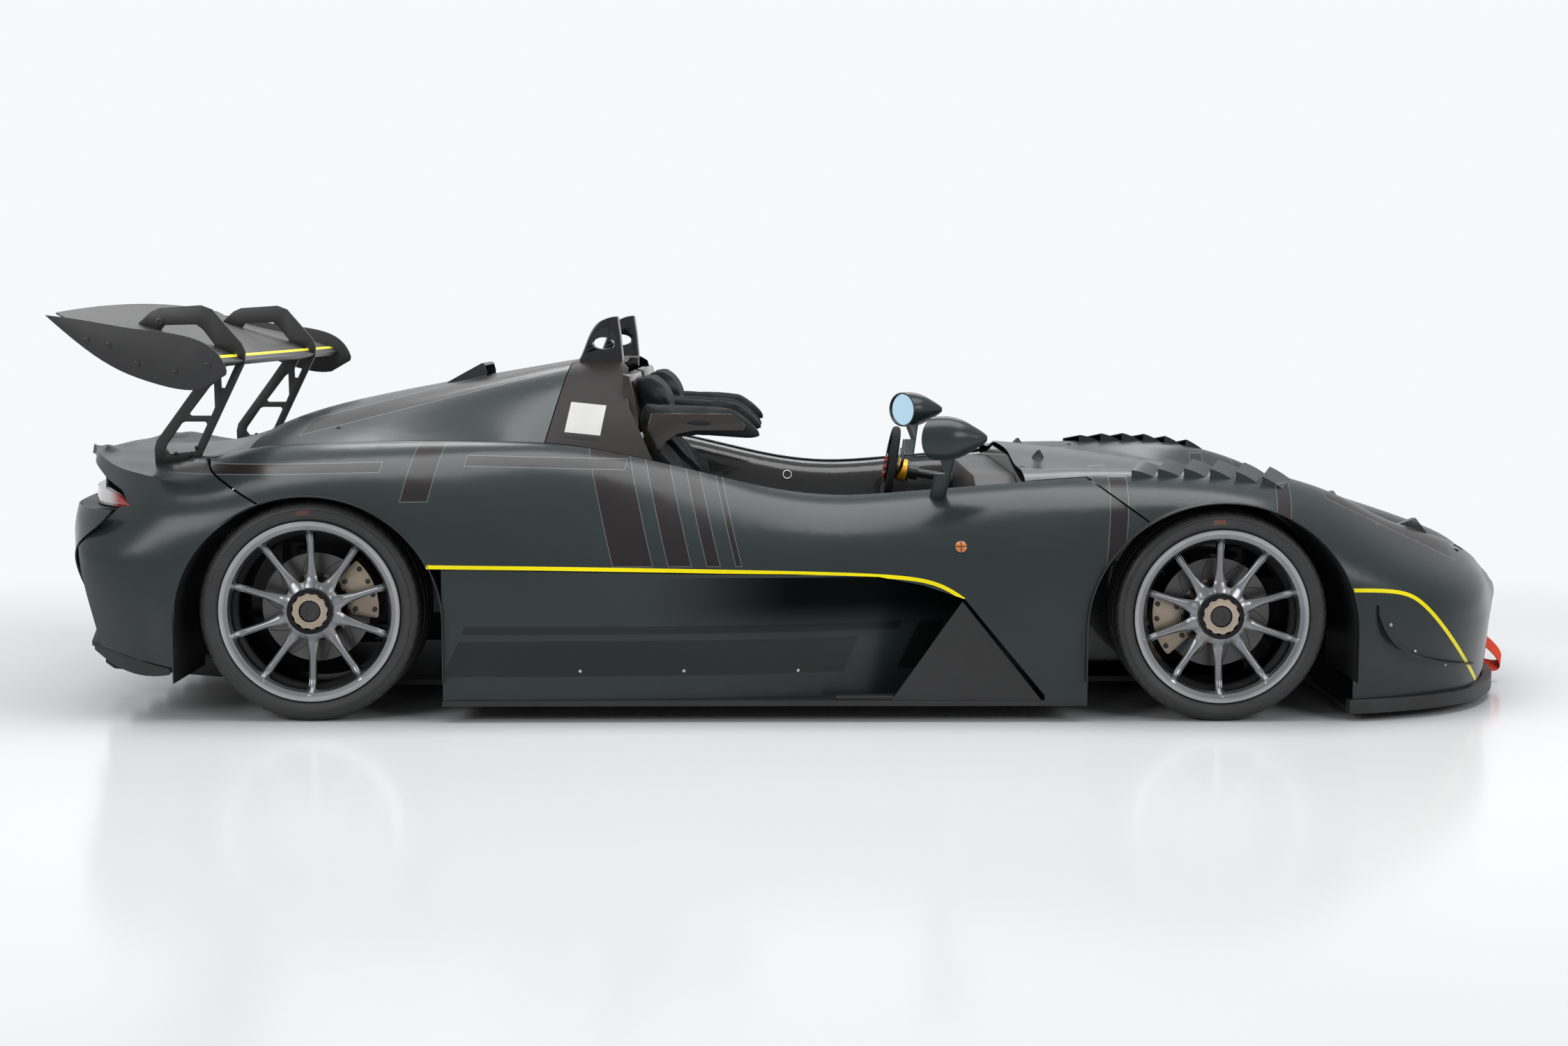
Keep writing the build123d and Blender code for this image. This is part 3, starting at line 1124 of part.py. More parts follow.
# ---- what stands on the bodywork -------------------------------------------------------------------
# Each section of a mirror: x, half width, half height
MIRROR = ((330, 50, 46), (370, 60, 58), (404, 62, 60), (440, 56, 55), (470, 42, 42), (500, 26, 24),
          (522, 8, 7))
MIRROR_W = 868
MIRROR_Z = 771
GLASS_LINE = ((451, 768), (309, 968))  # plan line of the glass opening, from its inner to its outer end
GLASS_IN, GLASS_BACK = 5, 9  # the glass lies between these depths behind the opening
STEM = ((600, 394, 776), (735, 418, 848))  # height, x, half width
BOARD_W = 899


def behind_opening(side, near, far):
    """Plan outline of the band between two depths behind a mirror's opening."""
    (x0, w0), (x1, w1) = GLASS_LINE
    length = hypot(x1 - x0, w1 - w0)
    ahead = ((w1 - w0) / length, (x0 - x1) / length)
    ends = [(x0, w0, near), (x1, w1, near), (x1, w1, far), (x0, w0, far)]
    return [(x + depth * ahead[0], side * (w + depth * ahead[1])) for x, w, depth in ends]


def mirror_core(near, far):
    """The mirrors' inner form, 5 mm inside their skin, between two depths behind the opening."""
    with BuildPart() as core:
        for side in SIDES.values():
            for x, half_w, half_h in MIRROR:
                with BuildSketch(Plane.YZ.offset(x)):
                    with Locations((side * MIRROR_W, MIRROR_Z)):
                        Ellipse(half_w - 5, half_h - 5)
            loft()
        with BuildSketch(Plane.XY.offset(MIRROR_Z - 100)):
            for side in SIDES.values():
                with BuildLine():
                    Polyline(*behind_opening(side, near, far), close=True)
                make_face()
        extrude(amount=200, mode=Mode.INTERSECT)
    return core


mirror_glass = mirror_core(GLASS_IN, GLASS_BACK)
save(mirror_glass, "mirror_glass")

with BuildPart() as mirrors:
    for side in SIDES.values():
        for x, half_w, half_h in MIRROR:
            with BuildSketch(Plane.YZ.offset(x)):
                with Locations((side * MIRROR_W, MIRROR_Z)):
                    Ellipse(half_w, half_h)
        loft()
        for z, x, w in STEM:
            with BuildSketch(Plane.XY.offset(z)):
                with Locations((x, side * w)):
                    RectangleRounded(46, 20, 9)
        loft()
    with BuildSketch(Plane.XY.offset(MIRROR_Z - 100)):
        for side in SIDES.values():
            with BuildLine():
                Polyline(*behind_opening(side, -200, 0), close=True)
            make_face()
    extrude(amount=200, mode=Mode.SUBTRACT)
    add(mirror_core(-3, GLASS_BACK).part, mode=Mode.SUBTRACT)  # the glass's recess
    for panel in side_panels:
        add(panel, mode=Mode.SUBTRACT)
    drop_offcuts(mirrors, 2)
save(mirrors, "mirrors")

with BuildPart() as bargeboards:
    for side in SIDES.values():
        with BuildSketch(side_plane(side, BOARD_W)):
            with BuildLine():
                Polyline((265, FLOOR_TOP), (672, FLOOR_TOP), (660, 76), (456, 331), close=True)
            make_face()
        extrude(amount=-side * 6)
        with BuildSketch(Plane.XY.offset(FLOOR_TOP)):
            with BuildLine():
                Polyline((114, side * BOARD_W), (272, side * BOARD_W), (272, side * 870), (114, side * 885),
                         close=True)
            make_face()
        extrude(amount=12)
save(bargeboards, "bargeboards")
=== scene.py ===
"""Looks of an open two-seat track car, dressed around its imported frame.

Every rigid CAD node but the tyres is shown as a merged and smoothed copy of its own mesh. Soft parts, tyres,
spoke faces, fasteners and small fittings are modelled here, and stripes and bands are painted in the
materials. Axes: +X to the nose, +Y to the car's left, +Z up, metres.
"""

import json
import logging
import math
from dataclasses import dataclass, replace
from enum import Enum
from typing import Callable, Sequence

import bpy
from mathutils import Matrix, Vector
from mathutils.bvhtree import BVHTree


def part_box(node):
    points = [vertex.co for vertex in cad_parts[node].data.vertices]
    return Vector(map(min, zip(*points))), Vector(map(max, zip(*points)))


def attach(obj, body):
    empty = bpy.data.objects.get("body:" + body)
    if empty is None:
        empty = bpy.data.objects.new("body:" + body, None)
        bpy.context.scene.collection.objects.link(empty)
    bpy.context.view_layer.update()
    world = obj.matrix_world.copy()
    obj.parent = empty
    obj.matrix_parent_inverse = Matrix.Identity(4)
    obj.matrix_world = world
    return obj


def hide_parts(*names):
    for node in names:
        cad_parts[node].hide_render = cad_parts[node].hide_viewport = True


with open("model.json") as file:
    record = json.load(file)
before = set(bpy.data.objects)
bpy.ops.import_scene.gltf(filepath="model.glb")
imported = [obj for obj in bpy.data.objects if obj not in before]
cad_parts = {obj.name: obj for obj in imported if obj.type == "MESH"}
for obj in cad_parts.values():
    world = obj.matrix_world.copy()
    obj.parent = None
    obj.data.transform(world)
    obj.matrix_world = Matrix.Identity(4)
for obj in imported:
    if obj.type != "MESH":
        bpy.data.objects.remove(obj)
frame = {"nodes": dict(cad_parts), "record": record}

LOG = logging.getLogger("track_car")
Point = tuple[float, float, float]
Colour = tuple[float, float, float]
Range = tuple[float, float]

AXLE_FRONT = 1.160
AXLE_REAR = -1.315
HUB_FRONT = 0.288
HUB_REAR = 0.302
RIM_FRONT = 0.237
RIM_REAR = 0.247
TYRE_FACE = 0.905
HUB_FACE = 0.840
CALIPER_FRONT = 192.0
CALIPER_REAR = 20.0
SIDES = {"right": -1, "left": 1}

COAT_ROUGHNESS = 0.04
DRIFT_RANGE = (0.3, 0.7)
GLOSS_SHARE = -0.3
DOUBLED = 0.00002


class Body(Enum):
    """The rigid bodies that new pieces ride on, apart from the wheels."""

    CHASSIS = "chassis"
    STEERING_WHEEL = "steering_wheel"


class Slot(Enum):
    """The record's material slots, named beside some new pieces."""

    PAINT = "paint"
    CARBON = "carbon_matt"
    PLASTIC = "black_plastic"
    TYRE = "tyre"
    CALIPER = "caliper_alloy"
    ALLOY = "alloy"
    SUEDE = "suede"
    CLEAR = "lamp_clear"


# ---- shader tools ----------------------------------------------------------------------------------
class Tree:
    """A node tree with short calls for the nodes that the finishes use."""

    def __init__(self, tree: bpy.types.NodeTree) -> None:
        """Wrap a material's, group's or world's node tree."""
        self.tree = tree

    def node(self, kind: str, **values: object) -> bpy.types.Node:
        """Add a node.

        Args:
            kind: The node's type, without the ShaderNode prefix.
            **values: Attributes, or input values where the name is an input in lower case with underscores.

        Returns:
            The new node.
        """
        made = self.tree.nodes.new("ShaderNode" + kind)
        for name, value in values.items():
            if hasattr(made, name):
                setattr(made, name, value)
            else:
                made.inputs[name.replace("_", " ").title()].default_value = value
        return made

    def link(self, source: bpy.types.NodeSocket, target: bpy.types.NodeSocket) -> None:
        """Join two sockets."""
        self.tree.links.new(source, target)

    def feed(self, value: object, target: bpy.types.NodeSocket) -> None:
        """Give an input its value.

        Args:
            value: A socket, a number or a colour.
            target: The input.
        """
        if isinstance(value, tuple):
            target.default_value = (*value, 1.0)
        elif isinstance(value, (int, float)):
            target.default_value = value
        else:
            self.link(value, target)

    def math(self, operation: str, *operands: object, clamp: bool = False) -> bpy.types.NodeSocket:
        """Add a Math node.

        Args:
            operation: The node's operation.
            *operands: Sockets or numbers.
            clamp: Whether the result is kept between 0 and 1.

        Returns:
            The result socket.
        """
        made = self.node("Math", operation=operation, use_clamp=clamp)
        for slot, operand in zip(made.inputs, operands):
            self.feed(operand, slot)
        return made.outputs[0]

    def times(self, *factors: object) -> bpy.types.NodeSocket:
        """Multiply sockets or numbers in turn.

        Args:
            *factors: Two or more sockets or numbers.

        Returns:
            The product's socket.
        """
        product = factors[0]
        for factor in factors[1:]:
            product = self.math("MULTIPLY", product, factor)
        return product

    def within(self, value: object, middle: object, half: float) -> bpy.types.NodeSocket:
        """A mask of where a value lies within half a width of a middle."""
        return self.math("LESS_THAN", self.math("ABSOLUTE", self.math("SUBTRACT", value, middle)), half)

    def between(self, value: object, limits: Range) -> bpy.types.NodeSocket:
        """A mask of where a value lies between two limits."""
        low, high = limits
        return self.times(self.math("GREATER_THAN", value, low), self.math("LESS_THAN", value, high))

    def wave(self, value: object, count: float) -> bpy.types.NodeSocket:
        """A triangle wave from 0 to 1 and back, with so many half waves to each 1 of the value."""
        return self.math("PINGPONG", self.times(value, count), 1.0)

    def mix(self, factor: object, first: object, second: object) -> bpy.types.NodeSocket:
        """Mix two colours.

        Args:
            factor: A socket or a number.
            first: The colour at factor 0, as a socket or a value.
            second: The colour at factor 1, as a socket or a value.

        Returns:
            The mixed colour's socket.
        """
        made = self.node("Mix", data_type="RGBA")
        for index, value in ((0, factor), (6, first), (7, second)):
            self.feed(value, made.inputs[index])
        return made.outputs[2]

    def ramp(self, value: bpy.types.NodeSocket, low: float, high: float, start: float = 0.0,
             end: float = 1.0) -> bpy.types.NodeSocket:
        """Map one range of a value smoothly to another.

        Args:
            value: The value.
            low: Where the ramp begins.
            high: Where it ends.
            start: The result up to its beginning.
            end: The result from its end.

        Returns:
            The mapped value's socket.
        """
        made = self.node("MapRange", interpolation_type="SMOOTHSTEP")
        for slot, given in zip(made.inputs, (value, low, high, start, end)):
            self.feed(given, slot)
        return made.outputs[0]

    def place(self) -> bpy.types.NodeSocket:
        """Object coordinates, in metres of the car's frame."""
        return self.node("TexCoord").outputs["Object"]

    def split(self, vector: bpy.types.NodeSocket) -> bpy.types.bpy_prop_collection:
        """The three parts of a vector."""
        made = self.node("SeparateXYZ")
        self.link(vector, made.inputs[0])
        return made.outputs

    def parts(self) -> bpy.types.bpy_prop_collection:
        """The object coordinates along X, Y and Z."""
        return self.split(self.place())

    def beyond(self, reach: float) -> bpy.types.NodeSocket:
        """A mask of what lies further than a reach from the car's centre line."""
        return self.math("GREATER_THAN", self.math("ABSOLUTE", self.parts()[1]), reach)

    def effect(self, group: bpy.types.NodeTree, **values: float) -> bpy.types.Node:
        """Place a shared effect over the object coordinates.

        Args:
            group: The effect's group.
            **values: Its inputs, in lower case with underscores.

        Returns:
            The placed group's node.
        """
        made = self.node("Group", node_tree=group)
        self.link(self.place(), made.inputs["Vector"])
        for name, value in values.items():
            made.inputs[name.replace("_", " ").title()].default_value = value
        return made


class Groups:
    """Shared effects, each built once as a shader node group with named sockets."""

    made: dict[str, bpy.types.NodeTree] = {}

    @classmethod
    def get(cls, name: str, inputs: dict[str, float], outputs: Sequence[str],
            fill: Callable[[Tree, dict, dict], None]) -> bpy.types.NodeTree:
        """Build a group or hand over the one already built.

        Args:
            name: The group's name.
            inputs: Number inputs with their defaults.
            outputs: Names of the number outputs.
            fill: Adds the group's nodes, given its tree, its input sockets and its output sockets.

        Returns:
            The group's node tree.
        """
        if name in cls.made:
            return cls.made[name]
        group = bpy.data.node_groups.new(name, "ShaderNodeTree")
        group.interface.new_socket("Vector", in_out="INPUT", socket_type="NodeSocketVector")
        for label, default in inputs.items():
            made = group.interface.new_socket(label, in_out="INPUT", socket_type="NodeSocketFloat")
            made.default_value = default
        for label in outputs:
            group.interface.new_socket(label, in_out="OUTPUT", socket_type="NodeSocketFloat")
        source = group.nodes.new("NodeGroupInput")
        target = group.nodes.new("NodeGroupOutput")
        fill(Tree(group), source.outputs, target.inputs)
        cls.made[name] = group
        return group

    @classmethod
    def grain(cls) -> bpy.types.NodeTree:
        """Fine and coarse noise: a bump height and a slow variation mask."""

        def fill(tree: Tree, given: dict, wanted: dict) -> None:
            """Add one noise for each scale."""
            for scale, detail, target in (("Fine", 3.0, "Height"), ("Coarse", 4.0, "Drift")):
                noise = tree.node("TexNoise", detail=detail)
                tree.link(given["Vector"], noise.inputs["Vector"])
                tree.link(given[scale], noise.inputs["Scale"])
                tree.link(noise.outputs[0], wanted[target])

        return cls.get("fine_grain", {"Fine": 900.0, "Coarse": 6.0}, ("Height", "Drift"), fill)

    @classmethod
    def weave(cls) -> bpy.types.NodeTree:
        """Two-over-two twill that follows X and the sum of Y and Z: a thread mask and a bump height."""

        def fill(tree: Tree, given: dict, wanted: dict) -> None:
            """Add the warp, the weft and which of them lies on top."""
            parts = tree.split(given["Vector"])
            along = tree.times(parts[0], given["Threads"])
            across = tree.times(tree.math("ADD", parts[2], parts[1]), given["Threads"])
            step = tree.math("SUBTRACT", tree.math("FLOOR", along), tree.math("FLOOR", across))
            mask = tree.math("GREATER_THAN", tree.math("FRACT", tree.times(step, 0.25)), 0.49)
            warp = tree.math("PINGPONG", tree.math("FRACT", along), 0.5)
            weft = tree.math("PINGPONG", tree.math("FRACT", across), 0.5)
            under = tree.times(tree.math("SUBTRACT", 1.0, mask), weft)
            tree.link(mask, wanted["Mask"])
            tree.link(tree.math("ADD", tree.times(mask, warp), under), wanted["Height"])

        return cls.get("twill_weave", {"Threads": 400.0}, ("Mask", "Height"), fill)

    @classmethod
    def block(cls) -> bpy.types.NodeTree:
        """A painted four-sided block in the side view, with a thin border."""

        def fill(tree: Tree, given: dict, wanted: dict) -> None:
            """Add the distance to the nearest edge, and the masks that it gives."""
            parts = tree.split(given["Vector"])
            along = tree.math("SUBTRACT", parts[0], tree.times(given["Slant"], parts[2]))
            height = tree.math("SUBTRACT", parts[2], tree.times(given["Tilt"], parts[0]))
            nearest = tree.math("SUBTRACT", along, given["Start"])
            for high, low in ((given["End"], along), (height, given["Bottom"]), (given["Top"], height)):
                nearest = tree.math("MINIMUM", nearest, tree.math("SUBTRACT", high, low))
            inside = tree.math("GREATER_THAN", nearest, 0.0)
            core = tree.math("GREATER_THAN", nearest, given["Border"])
            tree.link(inside, wanted["Mask"])
            tree.link(tree.math("SUBTRACT", inside, core), wanted["Edge"])

        return cls.get("painted_block", {"Start": 0.0, "End": 0.1, "Bottom": 0.0, "Top": 0.1, "Slant": 0.0,
                                         "Tilt": 0.0, "Border": 0.002}, ("Mask", "Edge"), fill)

    @classmethod
    def line(cls) -> bpy.types.NodeTree:
        """A painted line in the side view that runs nearly level and then bends down."""

        def fill(tree: Tree, given: dict, wanted: dict) -> None:
            """Add the line's height, its width where it is steep, and its ends."""
            parts = tree.split(given["Vector"])
            past = tree.math("SUBTRACT", parts[0], given["Bend"])
            root = tree.math("SQRT", tree.math("ADD", tree.times(past, past),
                                               tree.times(given["Round"], given["Round"])))
            fall = tree.times(tree.math("ADD", past, root), given["Drop"])
            level = tree.math("ADD", given["Level"], tree.times(parts[0], given["Slope"]))
            off = tree.math("ABSOLUTE", tree.math("SUBTRACT", parts[2], tree.math("SUBTRACT", level, fall)))
            steep = tree.times(tree.math("ADD", tree.math("DIVIDE", past, root), 1.0), given["Drop"])
            width = tree.times(given["Half Width"],
                               tree.math("SQRT", tree.math("ADD", tree.times(steep, steep), 1.0)))
            inside = tree.math("LESS_THAN", off, width)
            for low, high in ((given["Start"], parts[0]), (parts[0], given["End"])):
                inside = tree.times(inside, tree.math("LESS_THAN", low, high))
            tree.link(inside, wanted["Mask"])

        return cls.get("painted_line", {"Level": 0.0, "Slope": 0.0, "Bend": 10.0, "Round": 0.1, "Drop": 0.5,
                                        "Start": -1.0, "End": 1.0, "Half Width": 0.005}, ("Mask",), fill)

    @classmethod
    def polar(cls) -> bpy.types.NodeTree:
        """Place on the nearest wheel: radius, turn from 0 to 1, height up the sidewall and half width."""

        def fill(tree: Tree, given: dict, wanted: dict) -> None:
            """Add the place about the front or the rear axle."""
            parts = tree.split(given["Vector"])
            front = tree.math("GREATER_THAN", parts[0], 0.0)

            def either(ahead: float, behind: float) -> bpy.types.NodeSocket:
                """One value on the front wheels and another on the rear ones."""
                return tree.math("MULTIPLY_ADD", front, ahead - behind, behind)

            x = tree.math("SUBTRACT", parts[0], either(AXLE_FRONT, AXLE_REAR))
            z = tree.math("SUBTRACT", parts[2], either(HUB_FRONT, HUB_REAR))
            radius = tree.math("SQRT", tree.math("ADD", tree.times(x, x), tree.times(z, z)))
            turn = tree.math("MULTIPLY_ADD", tree.math("ARCTAN2", z, x), 0.5 / math.pi, 0.5)
            rise = tree.math("DIVIDE", tree.math("SUBTRACT", radius, either(RIM_FRONT, RIM_REAR)),
                             either(HUB_FRONT - RIM_FRONT, HUB_REAR - RIM_REAR))
            for name, socket in (("Radius", radius), ("Turn", turn), ("Rise", rise),
                                 ("Width", tree.math("ABSOLUTE", parts[1]))):
                tree.link(socket, wanted[name])

        return cls.get("wheel_polar", {}, ("Radius", "Turn", "Rise", "Width"), fill)


# ---- finishes --------------------------------------------------------------------------------------
@dataclass(frozen=True)
class Finish:
    """A surface finish with fine grain.

    Attributes:
        name: The material's name.
        colour: Base colour.
        roughness: Mean roughness.
        metallic: 1 for bare metal.
        coat: Clear coat weight.
        grain: Strength of the fine bump.
        fine: Scale of the fine grain.
        coarse: Scale of the slow variation.
        drift: How much the slow variation moves colour and roughness.
        specular: Strength of the plain reflection.
    """

    name: str
    colour: Colour
    roughness: float = 0.5
    metallic: float = 0.0
    coat: float = 0.0
    grain: float = 0.05
    fine: float = 900.0
    coarse: float = 6.0
    drift: float = 0.15
    specular: float = 0.5

    def material(self) -> bpy.types.Material:
        """Build the finish's material on its first use.

        Returns:
            The material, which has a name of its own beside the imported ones.
        """
        name = f"{self.name}_finish"
        made = bpy.data.materials.get(name)
        if made is None:
            made = bpy.data.materials.new(name)
            made.use_nodes = True
            shader = made.node_tree.nodes["Principled BSDF"]
            shader.inputs["Metallic"].default_value = self.metallic
            shader.inputs["Coat Weight"].default_value = self.coat
            shader.inputs["Coat Roughness"].default_value = COAT_ROUGHNESS
            shader.inputs["Specular IOR Level"].default_value = self.specular
            self.dress(Tree(made.node_tree), shader)
        return made

    def dress(self, tree: Tree, shader: bpy.types.Node) -> None:
        """Add the finish's nodes.

        Args:
            tree: The material's tree.
            shader: Its Principled BSDF.
        """
        group = self.grained(tree)
        self.tint(tree, shader, group, self.colour)
        self.emboss(tree, shader, group.outputs["Height"])

    def grained(self, tree: Tree) -> bpy.types.Node:
        """Place the grain group with the finish's scales."""
        return tree.effect(Groups.grain(), fine=self.fine, coarse=self.coarse)

    def tint(self, tree: Tree, shader: bpy.types.Node, group: bpy.types.Node, colour: object) -> None:
        """Drive colour and roughness by the slow variation.

        Args:
            tree: The material's tree.
            shader: Its Principled BSDF.
            group: The placed grain group.
            colour: A colour or a colour socket.
        """
        drift = tree.ramp(group.outputs["Drift"], *DRIFT_RANGE)
        level = tree.math("MULTIPLY_ADD", drift, 2 * self.drift, 1 - self.drift)
        grey = tree.node("CombineColor")
        for slot in grey.inputs[:3]:
            tree.link(level, slot)
        shade = tree.node("Mix", data_type="RGBA", blend_type="MULTIPLY")
        for index, value in ((0, 1.0), (6, colour), (7, grey.outputs[0])):
            tree.feed(value, shade.inputs[index])
        tree.link(shade.outputs[2], shader.inputs["Base Color"])
        rough = tree.math("MULTIPLY_ADD", drift, GLOSS_SHARE * self.drift, self.roughness, clamp=True)
        tree.link(rough, shader.inputs["Roughness"])

    def emboss(self, tree: Tree, shader: bpy.types.Node, height: bpy.types.NodeSocket,
               distance: float = 0.0004) -> None:
        """Feed a height through a Bump node to the shader's normal.

        Args:
            tree: The material's tree.
            shader: Its Principled BSDF.
            height: The height's socket.
            distance: Depth of a height of 1, in metres.
        """
        bump = tree.node("Bump", strength=self.grain, distance=distance)
        tree.link(height, bump.inputs["Height"])
        tree.link(bump.outputs[0], shader.inputs["Normal"])


@dataclass(frozen=True)
class Weave(Finish):
    """Clear-coated or matt carbon weave.

    Attributes:
        threads: Threads to the metre.
        light: Colour of the threads that catch the light.
    """

    threads: float = 420.0
    light: Colour = (0.05, 0.05, 0.055)

    def dress(self, tree: Tree, shader: bpy.types.Node) -> None:
        """Add the weave's nodes.

        Args:
            tree: The material's tree.
            shader: Its Principled BSDF.
        """
        weave = tree.effect(Groups.weave(), threads=self.threads)
        colour = tree.mix(weave.outputs["Mask"], self.colour, self.light)
        self.tint(tree, shader, self.grained(tree), self.marked(tree, colour))
        self.emboss(tree, shader, weave.outputs["Height"])

    def marked(self, tree: Tree, colour: bpy.types.NodeSocket) -> bpy.types.NodeSocket:
        """The weave's colour with what lies on it, which is nothing on plain weave."""
        return colour


@dataclass(frozen=True)
class Block:
    """A painted block in the side view; slant and tilt lean its ends and its long edges.

    Attributes:
        start: Rear end along X.
        end: Front end along X.
        bottom: Lower edge.
        top: Upper edge.
        slant: How far the ends move along X for each metre of height.
        tilt: How far the long edges rise for each metre of length.
        reach: Distance from the centre line from which it shows.
    """

    start: float
    end: float
    bottom: float
    top: float
    slant: float = 0.0
    tilt: float = 0.0
    reach: float = 0.0

    def place(self, tree: Tree, border: float = 0.002) -> bpy.types.Node:
        """Place the block's group in a material, with its border's width."""
        return tree.effect(Groups.block(), start=self.start, end=self.end, bottom=self.bottom, top=self.top,
                           slant=self.slant, tilt=self.tilt, border=border)


@dataclass(frozen=True)
class TrimLine:
    """A thin painted line that bends down near its front end.

    Attributes:
        level: Height at X = 0.
        slope: Rise for each metre before the bend.
        bend: Where it bends.
        radius: How wide the bend is.
        drop: Half the slope past the bend.
        start: Rear end.
        end: Front end.
        half: Half width.
        reach: Distance from the centre line from which it shows.
    """

    level: float
    slope: float
    bend: float
    radius: float
    drop: float
    start: float
    end: float
    half: float = 0.0052
    reach: float = 0.62

    def place(self, tree: Tree) -> bpy.types.NodeSocket:
        """Place the line's group in a material.

        Args:
            tree: The material's tree.

        Returns:
            The line's mask.
        """
        group = tree.effect(Groups.line(), level=self.level, slope=self.slope, bend=self.bend,
                            round=self.radius, drop=self.drop, start=self.start, end=self.end,
                            half_width=self.half)
        return tree.times(group.outputs["Mask"], tree.beyond(self.reach))


@dataclass(frozen=True)
class BodyPaint(Finish):
    """Satin body paint with darker blocks, a thin border round them, coloured trim lines, and painted shade in
    a hollow.

    Attributes:
        dark: The blocks' colour.
        border: Their border's colour.
        blocks: The blocks.
        trim: The lines' colour.
        lines: The lines.
        lengthwise: Distances from the centre line of thin pale lines on the upper faces.
        pale: Those lines' colour.
        pale_half: Their half width.
        deck: Height from which they show.
        hollow: Start and full strength along X, then in height, of painted shade in a hollow, which darkens the
            paint and lowers its plain reflection.
        hollow_top: Where the hollow ends above.
        shade: The colour of the painted shade deep in the hollow.
        shaded_specular: The paint's plain reflection under the painted shade.
    """

    dark: Colour = (0.0125, 0.0105, 0.0100)
    border: Colour = (0.105, 0.110, 0.108)
    blocks: tuple[Block, ...] = ()
    trim: Colour = (0.84, 0.72, 0.0)
    lines: tuple[TrimLine, ...] = ()
    lengthwise: tuple[float, ...] = ()
    pale: Colour = (0.42, 0.38, 0.22)
    pale_half: float = 0.0016
    deck: float = 0.705
    hollow: tuple[float, float, float, float] | None = None
    hollow_top: float = 0.395
    shade: Colour = (0.002, 0.0026, 0.0028)
    shaded_specular: float = 0.02

    def dress(self, tree: Tree, shader: bpy.types.Node) -> None:
        """Add the paint's nodes.

        Args:
            tree: The material's tree.
            shader: Its Principled BSDF.
        """
        colour: object = self.colour
        for block in self.blocks:
            placed, shown = block.place(tree), tree.beyond(block.reach)
            for name, shade in (("Mask", self.dark), ("Edge", self.border)):
                colour = tree.mix(tree.times(placed.outputs[name], shown), colour, shade)
        for line in self.lines:
            colour = tree.mix(line.place(tree), colour, self.trim)
        for offset in self.lengthwise:
            parts = tree.parts()
            on_line = tree.within(tree.math("ABSOLUTE", parts[1]), offset, self.pale_half)
            high = tree.math("GREATER_THAN", parts[2], self.deck)
            colour = tree.mix(tree.times(on_line, high), colour, self.pale)
        # Painted shade: the paint darkens and its plain reflection drops towards the front and the top of the
        # hollow.
        if self.hollow is not None:
            parts = tree.parts()
            depth = tree.times(tree.ramp(parts[0], *self.hollow[:2]), tree.ramp(parts[2], *self.hollow[2:]),
                               tree.math("LESS_THAN", parts[2], self.hollow_top))
            colour = tree.mix(depth, colour, self.shade)
            tree.link(tree.math("MULTIPLY_ADD", depth, self.shaded_specular - self.specular, self.specular),
                      shader.inputs["Specular IOR Level"])
        group = self.grained(tree)
        self.tint(tree, shader, group, colour)
        self.emboss(tree, shader, group.outputs["Height"])


@dataclass(frozen=True)
class LabelledWeave(Weave):
    """Carbon weave with one plain pale sticker on the car's right side, over a dark strip.

    Attributes:
        sticker: The sticker's block.
        sticker_colour: Its colour.
        strip: The strip's block.
        strip_colour: Its colour.
        edge: Colour of the edges round both.
        edge_width: The edges' width.
    """

    sticker: Block = Block(0.0, 0.1, 0.0, 0.1)
    sticker_colour: Colour = (0.50, 0.50, 0.49)
    strip: Block = Block(0.0, 0.1, 0.0, 0.1)
    strip_colour: Colour = (0.006, 0.006, 0.006)
    edge: Colour = (0.02, 0.02, 0.02)
    edge_width: float = 0.0025

    def marked(self, tree: Tree, colour: bpy.types.NodeSocket) -> bpy.types.NodeSocket:
        """Lay the strip and the sticker over the weave.

        Args:
            tree: The material's tree.
            colour: The weave's colour.

        Returns:
            The colour with both on it.
        """
        right = tree.math("LESS_THAN", tree.parts()[1], 0.0)
        for block, shade in ((self.strip, self.strip_colour), (self.sticker, self.sticker_colour)):
            placed = block.place(tree, self.edge_width)
            colour = tree.mix(tree.times(placed.outputs["Mask"], right), colour, shade)
            colour = tree.mix(tree.times(placed.outputs["Edge"], right), colour, self.edge)
        return colour


@dataclass(frozen=True)
class Glass(Finish):
    """Clear or coloured lens plastic.

    Attributes:
        clear: Transmission weight.
        rear: Colour of the part behind a station, for a lens of two colours.
        station: Where the second colour starts.
        blend: Half the length over which the colours blend.
        flutes: Fine flutes to the metre.
    """

    clear: float = 0.7
    rear: Colour | None = None
    station: float = 0.0
    blend: float = 0.02
    flutes: float = 160.0

    def dress(self, tree: Tree, shader: bpy.types.Node) -> None:
        """Set the lens's transmission, its colours and its fine flutes.

        Args:
            tree: The material's tree.
            shader: Its Principled BSDF.
        """
        shader.inputs["Transmission Weight"].default_value = self.clear
        colour: object = self.colour
        parts = tree.parts()
        if self.rear is not None:
            ahead = tree.ramp(parts[0], self.station - self.blend, self.station + self.blend)
            colour = tree.mix(ahead, self.rear, self.colour)
        self.tint(tree, shader, self.grained(tree), colour)
        self.emboss(tree, shader, tree.wave(tree.math("ADD", parts[0], parts[1]), self.flutes))


